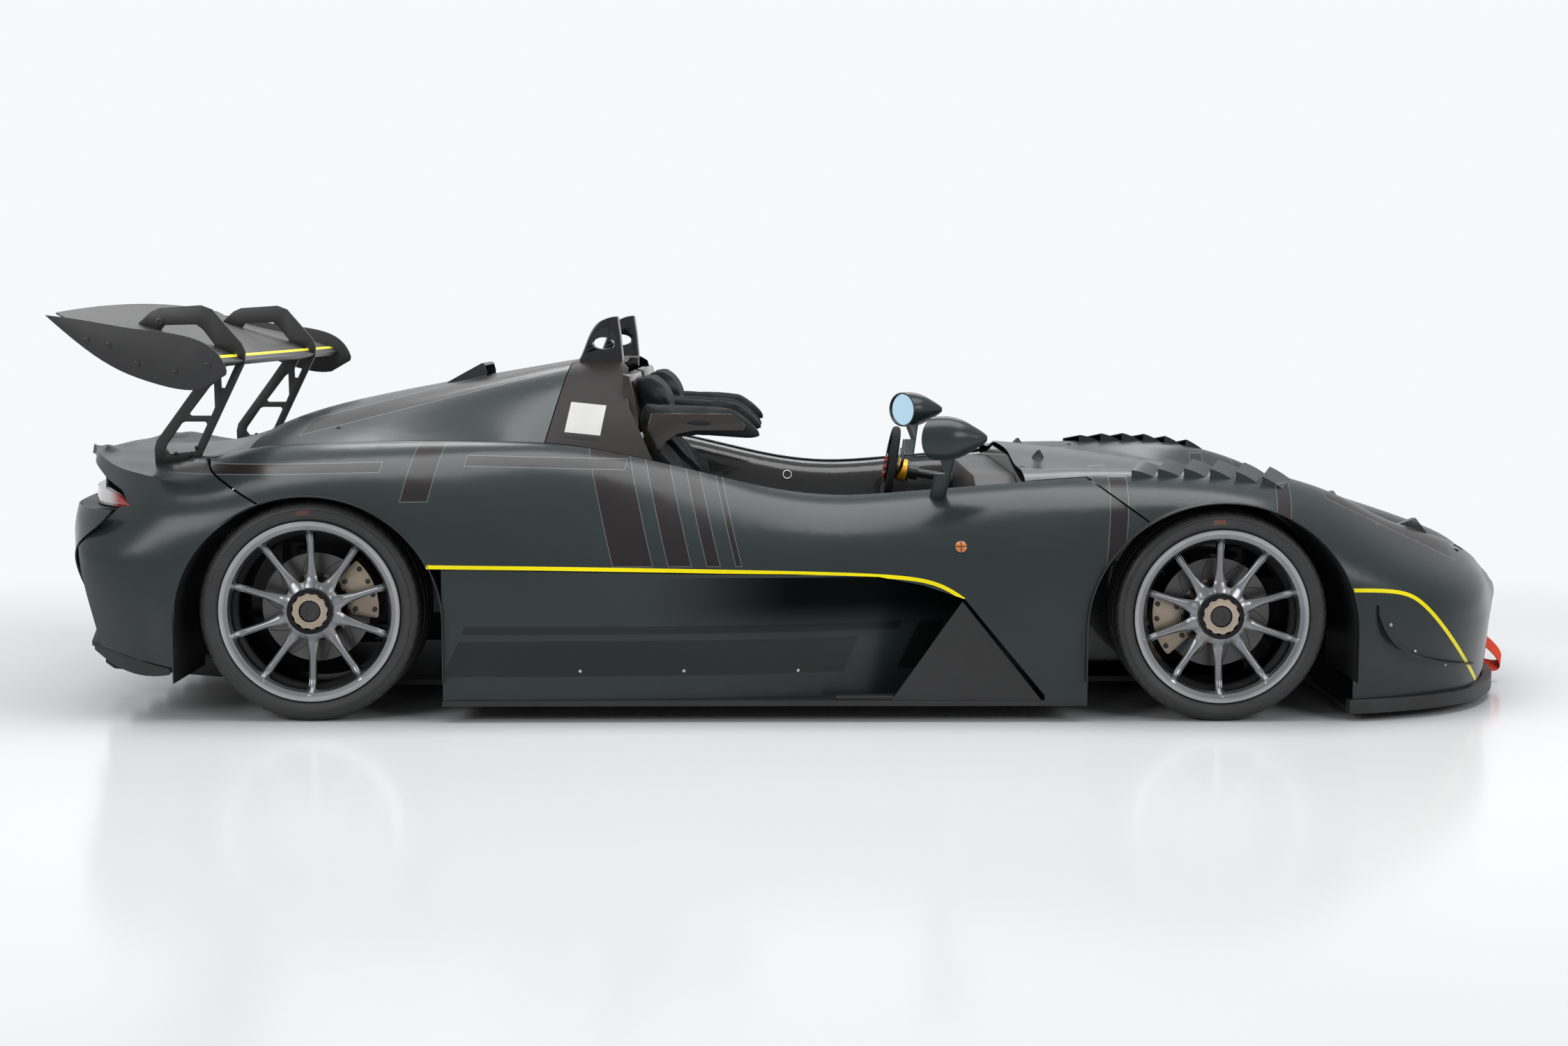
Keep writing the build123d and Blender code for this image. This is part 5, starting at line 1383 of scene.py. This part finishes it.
# ---- wheels ----------------------------------------------------------------------------------------
@dataclass
class Wheel:
    """Tyre, spoke faces and centre lock of one corner.

    Attributes:
        corner: The corner's name, as the wheel's nodes end.
        axle: The axle's X.
        hub: The axle's height, which is the tyre's radius.
        rim: Radius of the rim's flange.
        side: 1 on the left and -1 on the right.
    """

    corner: str
    axle: float
    hub: float
    rim: float
    side: int

    def build(self) -> None:
        """Build the corner's pieces."""
        self.tyre()
        self.spokes()
        self.centre_ring()
        self.hub_plug()

    def body(self) -> str:
        """The body that the pieces ride on."""
        return f"wheel_{self.corner}"

    def tyre(self) -> None:
        """A semi-slick tyre: bead, rounded sidewalls with moulded steps, and a tread with three grooves."""
        low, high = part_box(f"tyre_{self.corner}")
        width = high[1] - low[1]
        top, rim = self.hub, self.rim
        flank = [(0.0125, rim + 0.0005), (0.0060, rim + 0.0060), (0.0045, rim + 0.0105),
                 (0.0015, rim + 0.0160), (0.0004, rim + 0.0230), (0.0004, rim + 0.0290),
                 (0.0022, rim + 0.0300), (0.0030, rim + 0.0345), (0.0052, top - 0.0165),
                 (0.0075, top - 0.0125), (0.0100, top - 0.0080), (0.0148, top - 0.0042),
                 (0.0220, top - 0.0012), (0.0320, top)]
        tread = []
        for middle in (0.30, 0.50, 0.70):
            for offset, depth in ((-0.0045, 0.0), (-0.0035, 0.0045), (0.0035, 0.0045), (0.0045, 0.0)):
                tread.append((middle * width + offset, top - depth))
        inner_flank = [(width - y, radius) for y, radius in reversed(flank)]
        inside = [(0.0240, top - 0.012), (0.0160, rim + 0.025), (0.0220, rim + 0.006), (0.0340, rim - 0.0165),
                  (0.0125, rim - 0.0165)]
        hollow = [(width - y, radius) for y, radius in reversed(inside)] + inside
        section = flank + tread + inner_flank + hollow
        outline = [(self.side * (TYRE_FACE - y), radius) for y, radius in section]
        piece = turned(f"tyre_{self.corner}_rubber", self.axle, self.hub, outline, 112)
        smooth(piece, 38)
        finished(piece, RUBBER, self.body(), [f"tyre_{self.corner}"])

    def spokes(self) -> None:
        """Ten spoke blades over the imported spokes: flared at the hub, dished, and rising to the rim's lip."""
        root, tip = 0.0622, self.rim - 0.015
        rim = self.rim
        dish = ((root, 0.8785), (0.070, 0.8755), (0.080, 0.8705), (0.090, 0.8665), (0.120, 0.8675),
                (0.160, 0.8695), (rim - 0.057, 0.8710), (rim - 0.045, 0.8760), (rim - 0.036, 0.8815),
                (rim - 0.028, 0.8905), (rim - 0.022, 0.8965), (tip, 0.8995))
        flare = ((root, 0.0205), (0.072, 0.0225), (0.080, 0.0195), (0.090, 0.0160), (0.102, 0.0132),
                 (0.125, 0.0108), (0.160, 0.0095), (rim - 0.045, 0.0090), (rim - 0.030, 0.0105),
                 (tip, 0.0160))
        flat, rolled, fade = 0.45, 0.0062, 0.02

        def blend(table: Sequence[tuple[float, float]], at: float) -> float:
            """Read a table of radius and value at a radius, with straight lines between its rows."""
            for (a, low), (b, high) in zip(table, table[1:]):
                if at <= b:
                    return low + (high - low) * max(0.0, at - a) / (b - a)
            return table[-1][1]

        name = f"spoke_faces_{self.corner}"
        blade = primitive("grid", name, x_subdivisions=44, y_subdivisions=8, size=1.0)
        for vertex in blade.data.vertices:
            radius = root + (vertex.co.x + 0.5) * (tip - root)
            part = 2 * vertex.co.y
            fall = max(0.0, abs(part) - flat) / (1 - flat) * min(1.0, (tip - radius) / fade + 0.25)
            vertex.co = (radius, blend(flare, radius) * part, blend(dish, radius) - rolled * fall)
        modify(blade, "SMOOTH", factor=0.4, iterations=3)
        modify(blade, "SOLIDIFY", thickness=0.0035, offset=-1.0)
        blade.data.transform(Matrix.Rotation(-self.side * math.pi / 2, 4, "X"))
        if self.side < 0:
            mend(blade)
        smooth(blade, 38)
        turns = [self.axle_place(0.0) @ Matrix.Rotation(math.radians(90 + 36 * step), 4, "Y")
                 for step in range(10)]
        finished(mend(stamped(blade, name, turns)), GUNMETAL, self.body())

    def axle_place(self, offset: float) -> Matrix:
        """The place on the axle at a distance outwards from the car's centre line."""
        return Matrix.Translation((self.axle, self.side * offset, self.hub))

    def toothed(self, name: str, inner: float, outer: float, foot: float, face: float, teeth: int,
                proud: float) -> bpy.types.Object:
        """A ring with teeth round it, over the wheel's axle.

        Args:
            name: The piece's name.
            inner: Radius of its bore, or 0 for a solid plug.
            outer: Radius between its teeth.
            foot: Half width of its inner end.
            face: Half width of its outer face.
            teeth: Number of teeth.
            proud: How far the teeth stand out.

        Returns:
            The ring.
        """
        piece = primitive("cylinder", name, vertices=4 * teeth, radius=outer, depth=face - foot,
                          location=(0, 0, (face - foot) / 2))
        step = 2 * math.pi / teeth

        def on_tooth(centre: Vector, normal: Vector) -> bool:
            """Whether a face of the rim belongs to a tooth."""
            return abs(normal.z) < 0.5 and (math.atan2(centre.y, centre.x) % step) < step / 2

        pick(piece, on_tooth)
        bpy.ops.mesh.extrude_region_shrink_fatten(TRANSFORM_OT_shrink_fatten={"value": proud})
        pick(piece, lambda centre, normal: normal.z > 0.5 and centre.xy.length < 0.5 * outer)
        bpy.ops.mesh.inset(thickness=outer - max(inner, 0.45 * outer))
        sunk = foot - face + 0.004 if inner else -0.002
        bpy.ops.mesh.extrude_region_move(TRANSFORM_OT_translate={"value": (0, 0, sunk)})
        bpy.ops.object.mode_set(mode="OBJECT")
        mend(piece)
        rounded(piece, 0.0006, 40)
        piece.data.transform(self.axle_place(foot) @ Matrix.Rotation(-self.side * math.pi / 2, 4, "X"))
        mend(piece)
        smooth(piece, 35)
        return piece

    def centre_ring(self) -> None:
        """The anodised centre-lock ring with scallops round it."""
        piece = self.toothed(f"centre_lock_{self.corner}", inner=0.0300, outer=0.0468, foot=HUB_FACE + 0.028,
                             face=HUB_FACE + 0.0525, teeth=12, proud=0.0042)
        finished(piece, CHAMPAGNE, self.body())

    def hub_plug(self) -> None:
        """The black toothed hub in the ring's bore."""
        piece = self.toothed(f"hub_plug_{self.corner}", inner=0.0, outer=0.0262, foot=HUB_FACE + 0.004,
                             face=HUB_FACE + 0.0475, teeth=20, proud=0.0030)
        finished(piece, BLACK, self.body())


# ---- soft pieces -----------------------------------------------------------------------------------
@dataclass
class Cushion:
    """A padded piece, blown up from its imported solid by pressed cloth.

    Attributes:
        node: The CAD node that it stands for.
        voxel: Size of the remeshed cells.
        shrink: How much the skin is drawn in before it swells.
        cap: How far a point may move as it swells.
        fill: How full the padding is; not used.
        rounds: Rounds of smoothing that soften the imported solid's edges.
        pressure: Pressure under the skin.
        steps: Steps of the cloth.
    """

    node: str
    voxel: float
    shrink: float
    cap: float
    fill: float
    rounds: int = 10
    pressure: float = 4.0
    steps: int = 20

    def build(self) -> None:
        """Remesh the solid, draw it in, let it swell and smooth it."""
        piece = mend(copied(frame["nodes"][self.node], self.node + "_padded"))
        modify(piece, "REMESH", mode="VOXEL", voxel_size=self.voxel)
        modify(piece, "SMOOTH", factor=0.5, iterations=self.rounds)
        modify(piece, "DISPLACE", strength=-self.shrink, mid_level=0.0)
        self.swell(piece)
        modify(piece, "SMOOTH", factor=0.5, iterations=2)
        modify(piece, "SUBSURF", levels=1, render_levels=1)
        smooth(piece, 60)
        finished(piece, SUEDE, Body.CHASSIS.value, [self.node])

    def swell(self, piece: bpy.types.Object) -> None:
        """Press the skin outwards as cloth, and hold each point within the cap.

        Args:
            piece: The drawn-in skin.
        """
        start = [vertex.co.copy() for vertex in piece.data.vertices]
        cloth = piece.modifiers.new("filling", "CLOTH")
        cloth.settings.quality = 4
        cloth.settings.use_pressure = True
        cloth.settings.uniform_pressure_force = self.pressure
        cloth.settings.effector_weights.gravity = 0.0
        scene = bpy.context.scene
        for number in range(1, self.steps + 1):
            scene.frame_set(number)
        swollen = piece.evaluated_get(bpy.context.evaluated_depsgraph_get()).data
        places = [vertex.co.copy() for vertex in swollen.vertices]
        piece.modifiers.remove(cloth)
        scene.frame_set(1)
        for vertex, before, after in zip(piece.data.vertices, start, places):
            move = after - before
            if move.length > self.cap:
                move *= self.cap / move.length
            vertex.co = before + move


@dataclass
class TowStrap:
    """Red webbing folded into a loop at the nose.

    Attributes:
        path: Middle line of the webbing.
        across: Direction of its width.
        width: Its width.
        thickness: Its thickness.
    """

    path: tuple[Point, ...] = ((1.945, -0.262, 0.150), (1.990, -0.258, 0.156), (2.035, -0.255, 0.150),
                               (2.075, -0.250, 0.132), (2.108, -0.246, 0.104), (2.130, -0.244, 0.076),
                               (2.132, -0.243, 0.056), (2.112, -0.244, 0.048), (2.080, -0.247, 0.054),
                               (2.040, -0.250, 0.072), (1.990, -0.254, 0.100), (1.945, -0.258, 0.120))
    across: Point = (0.30, 0.72, 0.62)
    width: float = 0.044
    thickness: float = 0.0024

    def build(self) -> None:
        """Sweep the webbing along its path and give it its thickness."""
        half = Vector(self.across).normalized() * (self.width / 2)
        parts = (-1, -0.5, 0, 0.5, 1)
        corners = [Vector(point) + half * part for point in self.path for part in parts]
        first = [len(parts) * row + column
                 for row in range(len(self.path) - 1) for column in range(len(parts) - 1)]
        faces = [(corner, corner + 1, corner + 1 + len(parts), corner + len(parts)) for corner in first]
        mesh = bpy.data.meshes.new("tow_strap")
        mesh.from_pydata(corners, [], faces)
        piece = bpy.data.objects.new("tow_strap", mesh)
        bpy.context.scene.collection.objects.link(piece)
        modify(piece, "SUBSURF", levels=2, render_levels=2)
        modify(piece, "SOLIDIFY", thickness=self.thickness, offset=0.0)
        smooth(piece, 50)
        finished(piece, STRAP, Body.CHASSIS.value)


# ---- small parts -----------------------------------------------------------------------------------
@dataclass
class Bolts:
    """Bolts of one kind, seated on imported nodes.

    Attributes:
        name: The piece's name.
        finish: Their finish.
        radius: Head radius.
        height: Head height.
        beside: Node, X and Z of each bolt met from the side, on both sides.
        above: Node, X and Y of each bolt met from above, on both sides.
    """

    name: str
    finish: Finish
    radius: float
    height: float
    beside: tuple[tuple[str, float, float], ...] = ()
    above: tuple[tuple[str, float, float], ...] = ()

    def head(self) -> bpy.types.Object:
        """Model one head, on +Z.

        Returns:
            A raised head with a socket.
        """
        head = primitive("cylinder", "bolt_head", vertices=24, radius=self.radius, depth=self.height,
                         location=(0, 0, 0.5 * self.height - 0.0005))
        pick(head, lambda centre, normal: normal.z > 0.5)
        bpy.ops.mesh.inset(thickness=0.35 * self.radius)
        bpy.ops.transform.translate(value=(0, 0, 0.35 * self.height))
        bpy.ops.mesh.inset(thickness=0.12 * self.radius)
        bpy.ops.mesh.extrude_region_move(TRANSFORM_OT_translate={"value": (0, 0, -0.8 * self.height)})
        bpy.ops.object.mode_set(mode="OBJECT")
        mend(head)
        smooth(head, 40)
        return head

    def build(self) -> None:
        """Seat every bolt and join them."""
        places = []
        for side in SIDES.values():
            places += [standing(*Skin(node).beside(x, z, side)) for node, x, z in self.beside]
            places += [standing(*Skin(node).above(x, side * y)) for node, x, y in self.above]
        finished(stamped(self.head(), self.name, places), self.finish, Body.CHASSIS.value)


def spots(node: str, *places: Range) -> tuple[tuple[str, float, float], ...]:
    """Name the node that holds some bolts beside each of their places."""
    return tuple((node, first, second) for first, second in places)


BOLT_SETS = (
    Bolts("endplate_bolts", BLACK, 0.0075, 0.003, beside=spots(
        "wing_endplates", (-1.904, 1.036), (-1.845, 1.022), (-1.770, 0.972), (-1.669, 0.949),
        (-1.579, 0.968))),
    Bolts("canard_bolts", ALLOY, 0.0045, 0.003, beside=spots(
        "front_clamshell", (1.626, 0.262), (1.704, 0.184), (1.807, 0.138))),
    Bolts("sill_bolts", ALLOY, 0.0040, 0.002, beside=spots(
        "channel_panels", (-0.581, 0.140), (0.011, 0.132), (-0.30, 0.138))),
    Bolts("wing_pivot_bolts", STEEL, 0.0130, 0.003, beside=spots("swan_necks", (-1.812, 1.082))),
    Bolts("swan_neck_foot_bolts", STEEL, 0.0060, 0.004, beside=spots(
        "swan_necks", (-1.715, 0.722), (-1.775, 0.705), (-1.735, 0.702))),
    Bolts("hoop_foot_bolts", STEEL, 0.0060, 0.004, beside=spots(
        "roll_hoops", (-0.600, 0.915), (-0.515, 0.915))),
    Bolts("deck_fasteners", STEEL, 0.0080, 0.002, above=(
        *spots("front_clamshell", (0.655, 0.520), (0.930, 0.600)),
        *spots("engine_cover", (-0.700, 0.520), (-1.300, 0.520)), *spots("tail_section", (-1.700, 0.600)))),
)


@dataclass
class CaliperBolts:
    """Bolts on a caliper's outer face.

    Attributes:
        node: The caliper's node.
        axle: The axle's X.
        hub: The axle's height.
        middle: Angle of the caliper's middle, in degrees.
        side: 1 on the left and -1 on the right.
        seats: Angle from the caliper's middle, in degrees, and radius of each bolt.
    """

    node: str
    axle: float
    hub: float
    middle: float
    side: int
    seats: tuple[Range, ...] = ((-21.0, 0.112), (-21.0, 0.165), (-7.0, 0.165), (7.0, 0.165), (21.0, 0.112),
                                (21.0, 0.165))

    def build(self) -> None:
        """Seat a head at every place."""
        skin, places = Skin(self.node), []
        for offset, radius in self.seats:
            angle = math.radians(self.middle + offset)
            x, z = self.axle + radius * math.cos(angle), self.hub + radius * math.sin(angle)
            places.append(standing(*skin.beside(x, z, self.side)))
        head = Bolts("caliper", STEEL, 0.0068, 0.0045).head()
        name = f"caliper_bolts_{'front' if self.axle > 0 else 'rear'}_{'left' if self.side > 0 else 'right'}"
        finished(stamped(head, name, places), STEEL, owner(self.node))


@dataclass
class BonnetLatches:
    """Small dark pyramids that hold the bonnet.

    Attributes:
        station: Their X.
        offset: Their distance from the centre line.
        height: Their height.
        foot: Half the width across their feet's corners.
        top: Half the width across their tops' corners.
        rim: Width of the rim round each sunk face.
    """

    station: float = 0.724
    offset: float = 0.300
    height: float = 0.026
    foot: float = 0.026
    top: float = 0.005
    rim: float = 0.003

    def build(self) -> None:
        """Build one latch with sunk faces, and seat a copy on each side."""
        latch = primitive("cone", "bonnet_latch", vertices=4, radius1=self.foot, radius2=self.top,
                          depth=self.height, location=(0, 0, self.height / 2 - 0.002))
        pick(latch, lambda centre, normal: 0.1 < normal.z < 0.95)
        bpy.ops.mesh.inset(thickness=self.rim, use_individual=True)
        bpy.ops.mesh.extrude_region_shrink_fatten(TRANSFORM_OT_shrink_fatten={"value": -0.002})
        bpy.ops.object.mode_set(mode="OBJECT")
        mend(latch)
        rounded(latch, 0.0008)
        smooth(latch, 30)
        skin = Skin("front_clamshell")
        places = [standing(*skin.above(self.station, side * self.offset)) for side in SIDES.values()]
        finished(stamped(latch, "bonnet_latches", places), BLACK, Body.CHASSIS.value)


@dataclass
class MarkerLamps:
    """Marker lamps on the flanks.

    Attributes:
        station: Their X.
        height: Their height.
        radius: Their radius.
        flat: The lens's height as a share of its radius.
        wire: Thickness of the bezel's wire.
    """

    station: float = 0.452
    height: float = 0.478
    radius: float = 0.0165
    flat: float = 0.35
    wire: float = 0.0022

    def build(self) -> None:
        """Build the marker lamps and their bezels."""
        places = [standing(*Skin(f"side_panel_{name}").beside(self.station, self.height, side))
                  for name, side in SIDES.items()]
        for part, name, finish, slot in ((self.lens(), "marker_lamps", AMBER_LENS, Slot.CLEAR),
                                         (self.bezel(), "marker_lamp_bezels", BLACK, Slot.PLASTIC)):
            finished(stamped(part, name, places), finish, Body.CHASSIS.value)

    def lens(self) -> bpy.types.Object:
        """Model a domed lens, on +Z.

        Returns:
            The lens.
        """
        lens = primitive("uv_sphere", "lens", segments=32, ring_count=16, radius=self.radius)
        bpy.ops.object.mode_set(mode="EDIT")
        bpy.ops.mesh.select_all(action="SELECT")
        bpy.ops.transform.resize(value=(1.0, 1.0, self.flat))
        bpy.ops.object.mode_set(mode="OBJECT")
        smooth(lens, 60)
        return lens

    def bezel(self) -> bpy.types.Object:
        """Model a ring with crossed bars over the lens.

        Returns:
            The bezel.
        """
        parts = [primitive("torus", "bezel", major_segments=40, minor_segments=10, major_radius=self.radius,
                           minor_radius=self.wire)]
        for size in ((2 * self.radius, self.wire, 0.003), (self.wire, 2 * self.radius, 0.003)):
            bar = primitive("cube", "bezel_bar", size=1.0, location=(0, 0, 0.0052), scale=size)
            modify(bar, "BEVEL", width=0.0005, segments=2)
            parts.append(bar)
        ring = joined(parts, "bezel")
        smooth(ring, 40)
        return ring


@dataclass
class CrestFins:
    """Low fins that step down each front fender's crest, over the headlamp.

    Attributes:
        offset: Their distance from the centre line.
        width: Their thickness.
        sunk: How far their feet stand under the skin.
        fins: Rear foot, peak and front foot of each fin, and its height.
    """

    offset: float = 0.500
    width: float = 0.030
    sunk: float = 0.004
    fins: tuple[tuple[float, float, float, float], ...] = (
        (1.548, 1.600, 1.622, 0.018),
        (1.716, 1.792, 1.832, 0.034),
    )

    def build(self) -> None:
        """Build the fins of both sides."""
        skin, parts = Skin("front_clamshell"), []
        for side in SIDES.values():
            for number, (back, peak, front, rise) in enumerate(self.fins):
                y = side * self.offset
                points = [(x, y, skin.above(x, y)[0].z + lift)
                          for x, lift in ((back, -self.sunk), (peak, rise), (front, -self.sunk))]
                parts.append(plate(f"fin_{number}", points, (0.0, -side * self.width, 0.0), 0.003))
        finished(joined(parts, "crest_fins"), PAINT, Body.CHASSIS.value)


@dataclass
class Cockpit:
    """What the driver handles: button plate, quick release and paddles, and the rings in the liner.

    Attributes:
        wheel: Centre of the steering wheel.
        lean: The column's fall to the front, in degrees.
    """

    wheel: Point = (0.317, 0.360, 0.604)
    lean: float = 9.85

    def place(self, piece: bpy.types.Object) -> bpy.types.Object:
        """Turn a piece modelled on +Z, which faces the driver, into the wheel's place.

        Args:
            piece: The piece.

        Returns:
            The piece.
        """
        facing = Vector((-math.cos(math.radians(self.lean)), 0.0, math.sin(math.radians(self.lean))))
        piece.data.transform(standing(Vector(self.wheel), facing))
        return mend(piece)

    def build(self) -> None:
        """Build the cockpit's pieces."""
        for piece, finish, slot in ((self.button_plate(), GLOSS_BLACK, Slot.PLASTIC),
                                    (self.buttons(), BUTTONS, Slot.PLASTIC),
                                    (self.quick_release(), YELLOW, Slot.ALLOY),
                                    (self.paddles(), CARBON, Slot.CARBON)):
            finished(self.place(piece), finish, Body.STEERING_WHEEL.value)
        self.liner_rings()

    def button_plate(self) -> bpy.types.Object:
        """Model the gloss plate with a raised rim.

        Returns:
            The plate.
        """
        piece = primitive("cylinder", "wheel_plate", vertices=48, radius=0.047, depth=0.006,
                          location=(0, 0, 0.012))
        pick(piece, lambda centre, normal: normal.z > 0.5)
        bpy.ops.mesh.inset(thickness=0.006)
        bpy.ops.mesh.extrude_region_move(TRANSFORM_OT_translate={"value": (0, 0, -0.0015)})
        bpy.ops.object.mode_set(mode="OBJECT")
        smooth(piece, 35)
        return piece

    def buttons(self) -> bpy.types.Object:
        """Model the round caps on the plate.

        Returns:
            Eight caps in a ring.
        """
        ring, foot = 0.030, 0.014
        turns = [math.radians(45 * number) for number in range(8)]
        places = [Matrix.Translation((ring * math.cos(turn), ring * math.sin(turn), foot)) for turn in turns]
        return stamped(Bolts("cap", BUTTONS, 0.0062, 0.006).head(), "wheel_buttons", places)

    def quick_release(self) -> bpy.types.Object:
        """Model the yellow sleeve behind the wheel.

        Returns:
            The sleeve.
        """
        sleeve = primitive("cylinder", "quick_release", vertices=40, radius=0.036, depth=0.030,
                           location=(0, 0, -0.040))
        pick(sleeve, lambda centre, normal: abs(normal.z) > 0.5)
        bpy.ops.mesh.inset(thickness=0.006)
        bpy.ops.object.mode_set(mode="OBJECT")
        rounded(sleeve, 0.003, 40, segments=3)
        smooth(sleeve, 40)
        return sleeve

    def paddles(self) -> bpy.types.Object:
        """Model the shift paddles behind the wheel.

        Returns:
            Two thin plates.
        """
        outline = ((0.040, -0.014, -0.026), (0.118, 0.018, -0.030), (0.120, 0.062, -0.030),
                   (0.096, 0.066, -0.028), (0.044, 0.012, -0.026))
        parts = [plate("paddle", [(side * x, y, z) for x, y, z in outline], (0.0, 0.0, -0.004), 0.001)
                 for side in SIDES.values()]
        return joined(parts, "shift_paddles")

    def liner_rings(self) -> None:
        """A small bright ring on the liner beside each seat."""
        ring = primitive("torus", "liner_ring", major_segments=32, minor_segments=10, major_radius=0.014,
                         minor_radius=0.0028)
        smooth(ring, 60)
        skin = Skin("monocoque")
        places = [standing(*skin.seat((-0.017, side * 0.30, 0.560), (0.0, side, 0.0)))
                  for side in SIDES.values()]
        finished(stamped(ring, "liner_rings", places), ALLOY, Body.CHASSIS.value)


# ---- studio ----------------------------------------------------------------------------------------
@dataclass
class Studio:
    """Floor, backdrop, lamps, world and camera.

    Attributes:
        eye: The camera's place.
        pitch: Degrees that it looks down.
        lens: Focal length in millimetres.
        sensor: The sensor's width in millimetres.
        far: How far the camera sees.
        lamps: Place, size, power and target of each area lamp.
        pale: The backdrop's colour, which the floor fades into.
        ground: The floor's own colour.
        fade: Distances from the car between which the floor fades.
        glossy: The world's strength in reflections.
        ambient: Its strength as light on the car.
    """

    eye: Point = (-0.0275, -6.914, 1.1195)
    pitch: float = 5.466
    lens: float = 51.37
    sensor: float = 36.0
    far: float = 200.0
    lamps: tuple[tuple[Point, tuple[float, float], float, Point], ...] = (
        ((0.0, -0.6, 4.8), (7.5, 3.0), 350.0, (0.0, 0.0, 0.3)),
        ((-4.5, -5.0, 3.2), (3.0, 2.2), 120.0, (-0.8, 0.0, 0.5)),
        ((4.8, -4.6, 3.0), (3.0, 2.2), 110.0, (1.0, 0.0, 0.5)),
        ((0.0, 5.5, 4.9), (6.0, 2.0), 110.0, (0.0, 0.0, 0.6)),
    )
    pale: Colour = (0.93, 0.94, 0.96)
    ground: Colour = (0.76, 0.77, 0.785)
    fade: Range = (2.6, 6.5)
    glossy: float = 0.70
    ambient: float = 0.26

    def build(self) -> None:
        """Build the whole studio."""
        self.floor()
        self.sky()
        for number, lamp in enumerate(self.lamps):
            self.lamp(f"softbox_{number}", *lamp)
        self.camera()

    def floor(self) -> None:
        """A wide pale floor that keeps the car's shadow and fades into the backdrop far off."""
        floor = primitive("plane", "studio_floor", size=80.0)
        made = bpy.data.materials.new("pale_floor")
        made.use_nodes = True
        tree = Tree(made.node_tree)
        shader = made.node_tree.nodes["Principled BSDF"]
        shader.inputs["Base Color"].default_value = (*self.ground, 1.0)
        shader.inputs["Roughness"].default_value = 0.16
        shader.inputs["Specular IOR Level"].default_value = 0.4
        parts = tree.parts()
        behind = tree.math("MULTIPLY_ADD", tree.math("GREATER_THAN", parts[1], 0.0), 1.4, 1.0)
        off = tree.times(parts[1], behind)
        distance = tree.math("SQRT", tree.math("ADD", tree.times(parts[0], parts[0]), tree.times(off, off)))
        glow = tree.node("Emission")
        glow.inputs["Color"].default_value = (*self.pale, 1.0)
        mix = tree.node("MixShader")
        tree.link(tree.ramp(distance, *self.fade), mix.inputs[0])
        tree.link(shader.outputs[0], mix.inputs[1])
        tree.link(glow.outputs[0], mix.inputs[2])
        tree.link(mix.outputs[0], made.node_tree.nodes["Material Output"].inputs["Surface"])
        floor.data.materials.append(made)

    def sky(self) -> None:
        """An even pale world, dimmer in reflections and dimmer still as light on the car."""
        world = bpy.data.worlds.new("studio")
        bpy.context.scene.world = world
        world.use_nodes = True
        tree = Tree(world.node_tree)
        background = world.node_tree.nodes["Background"]
        background.inputs["Color"].default_value = (*self.pale, 1.0)
        path = tree.node("LightPath")
        seen = tree.math("MAXIMUM", path.outputs["Is Camera Ray"], path.outputs["Is Transmission Ray"])
        glossy = tree.times(path.outputs["Is Glossy Ray"], self.glossy)
        strength = tree.math("MAXIMUM", tree.math("MAXIMUM", seen, glossy), self.ambient)
        tree.link(strength, background.inputs["Strength"])

    def lamp(self, name: str, place: Point, size: tuple[float, float], power: float, target: Point) -> None:
        """Add an area lamp.

        Args:
            name: Its name.
            place: Its place.
            size: Its width and height.
            power: Its power in watts.
            target: The point that it looks at.
        """
        data = bpy.data.lights.new(name, "AREA")
        data.shape = "RECTANGLE"
        data.size, data.size_y = size
        data.energy = power
        lamp = bpy.data.objects.new(name, data)
        bpy.context.scene.collection.objects.link(lamp)
        lamp.location = place
        lamp.rotation_euler = (Vector(target) - Vector(place)).to_track_quat("-Z", "Y").to_euler()

    def camera(self) -> None:
        """Add the camera."""
        data = bpy.data.cameras.new("camera")
        data.lens = self.lens
        data.sensor_width = self.sensor
        data.clip_end = self.far
        camera = bpy.data.objects.new("camera", data)
        bpy.context.scene.collection.objects.link(camera)
        camera.location = self.eye
        camera.rotation_euler = (math.radians(90 - self.pitch), 0.0, 0.0)
        bpy.context.scene.camera = camera
        bpy.context.scene.view_settings.view_transform = "Standard"


def main() -> None:
    """Build the car's looks and the studio."""
    logging.basicConfig(level=logging.INFO, format="%(message)s")
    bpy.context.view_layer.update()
    Studio().build()
    for dressing in DRESSINGS:
        dressing.build()
    for corner in ("front_left", "front_right", "rear_left", "rear_right"):
        side = SIDES[corner.split("_")[1]]
        if corner.startswith("front"):
            Wheel(corner, AXLE_FRONT, HUB_FRONT, RIM_FRONT, side).build()
            CaliperBolts(f"caliper_{corner}", AXLE_FRONT, HUB_FRONT, CALIPER_FRONT, side).build()
        else:
            Wheel(corner, AXLE_REAR, HUB_REAR, RIM_REAR, side).build()
            CaliperBolts("calipers_rear", AXLE_REAR, HUB_REAR, CALIPER_REAR, side).build()
    pads = Cushion("head_restraint_pads", voxel=0.006, shrink=0.004, cap=0.014, fill=0.8, rounds=22)
    seats = Cushion("seats", voxel=0.014, shrink=0.010, cap=0.016, fill=0.7)
    small = (*BOLT_SETS, BonnetLatches(), MarkerLamps(), CrestFins(), Cockpit())
    for assembly in (*small, TowStrap(), pads, seats):
        assembly.build()


if __name__ == "__main__":
    main()
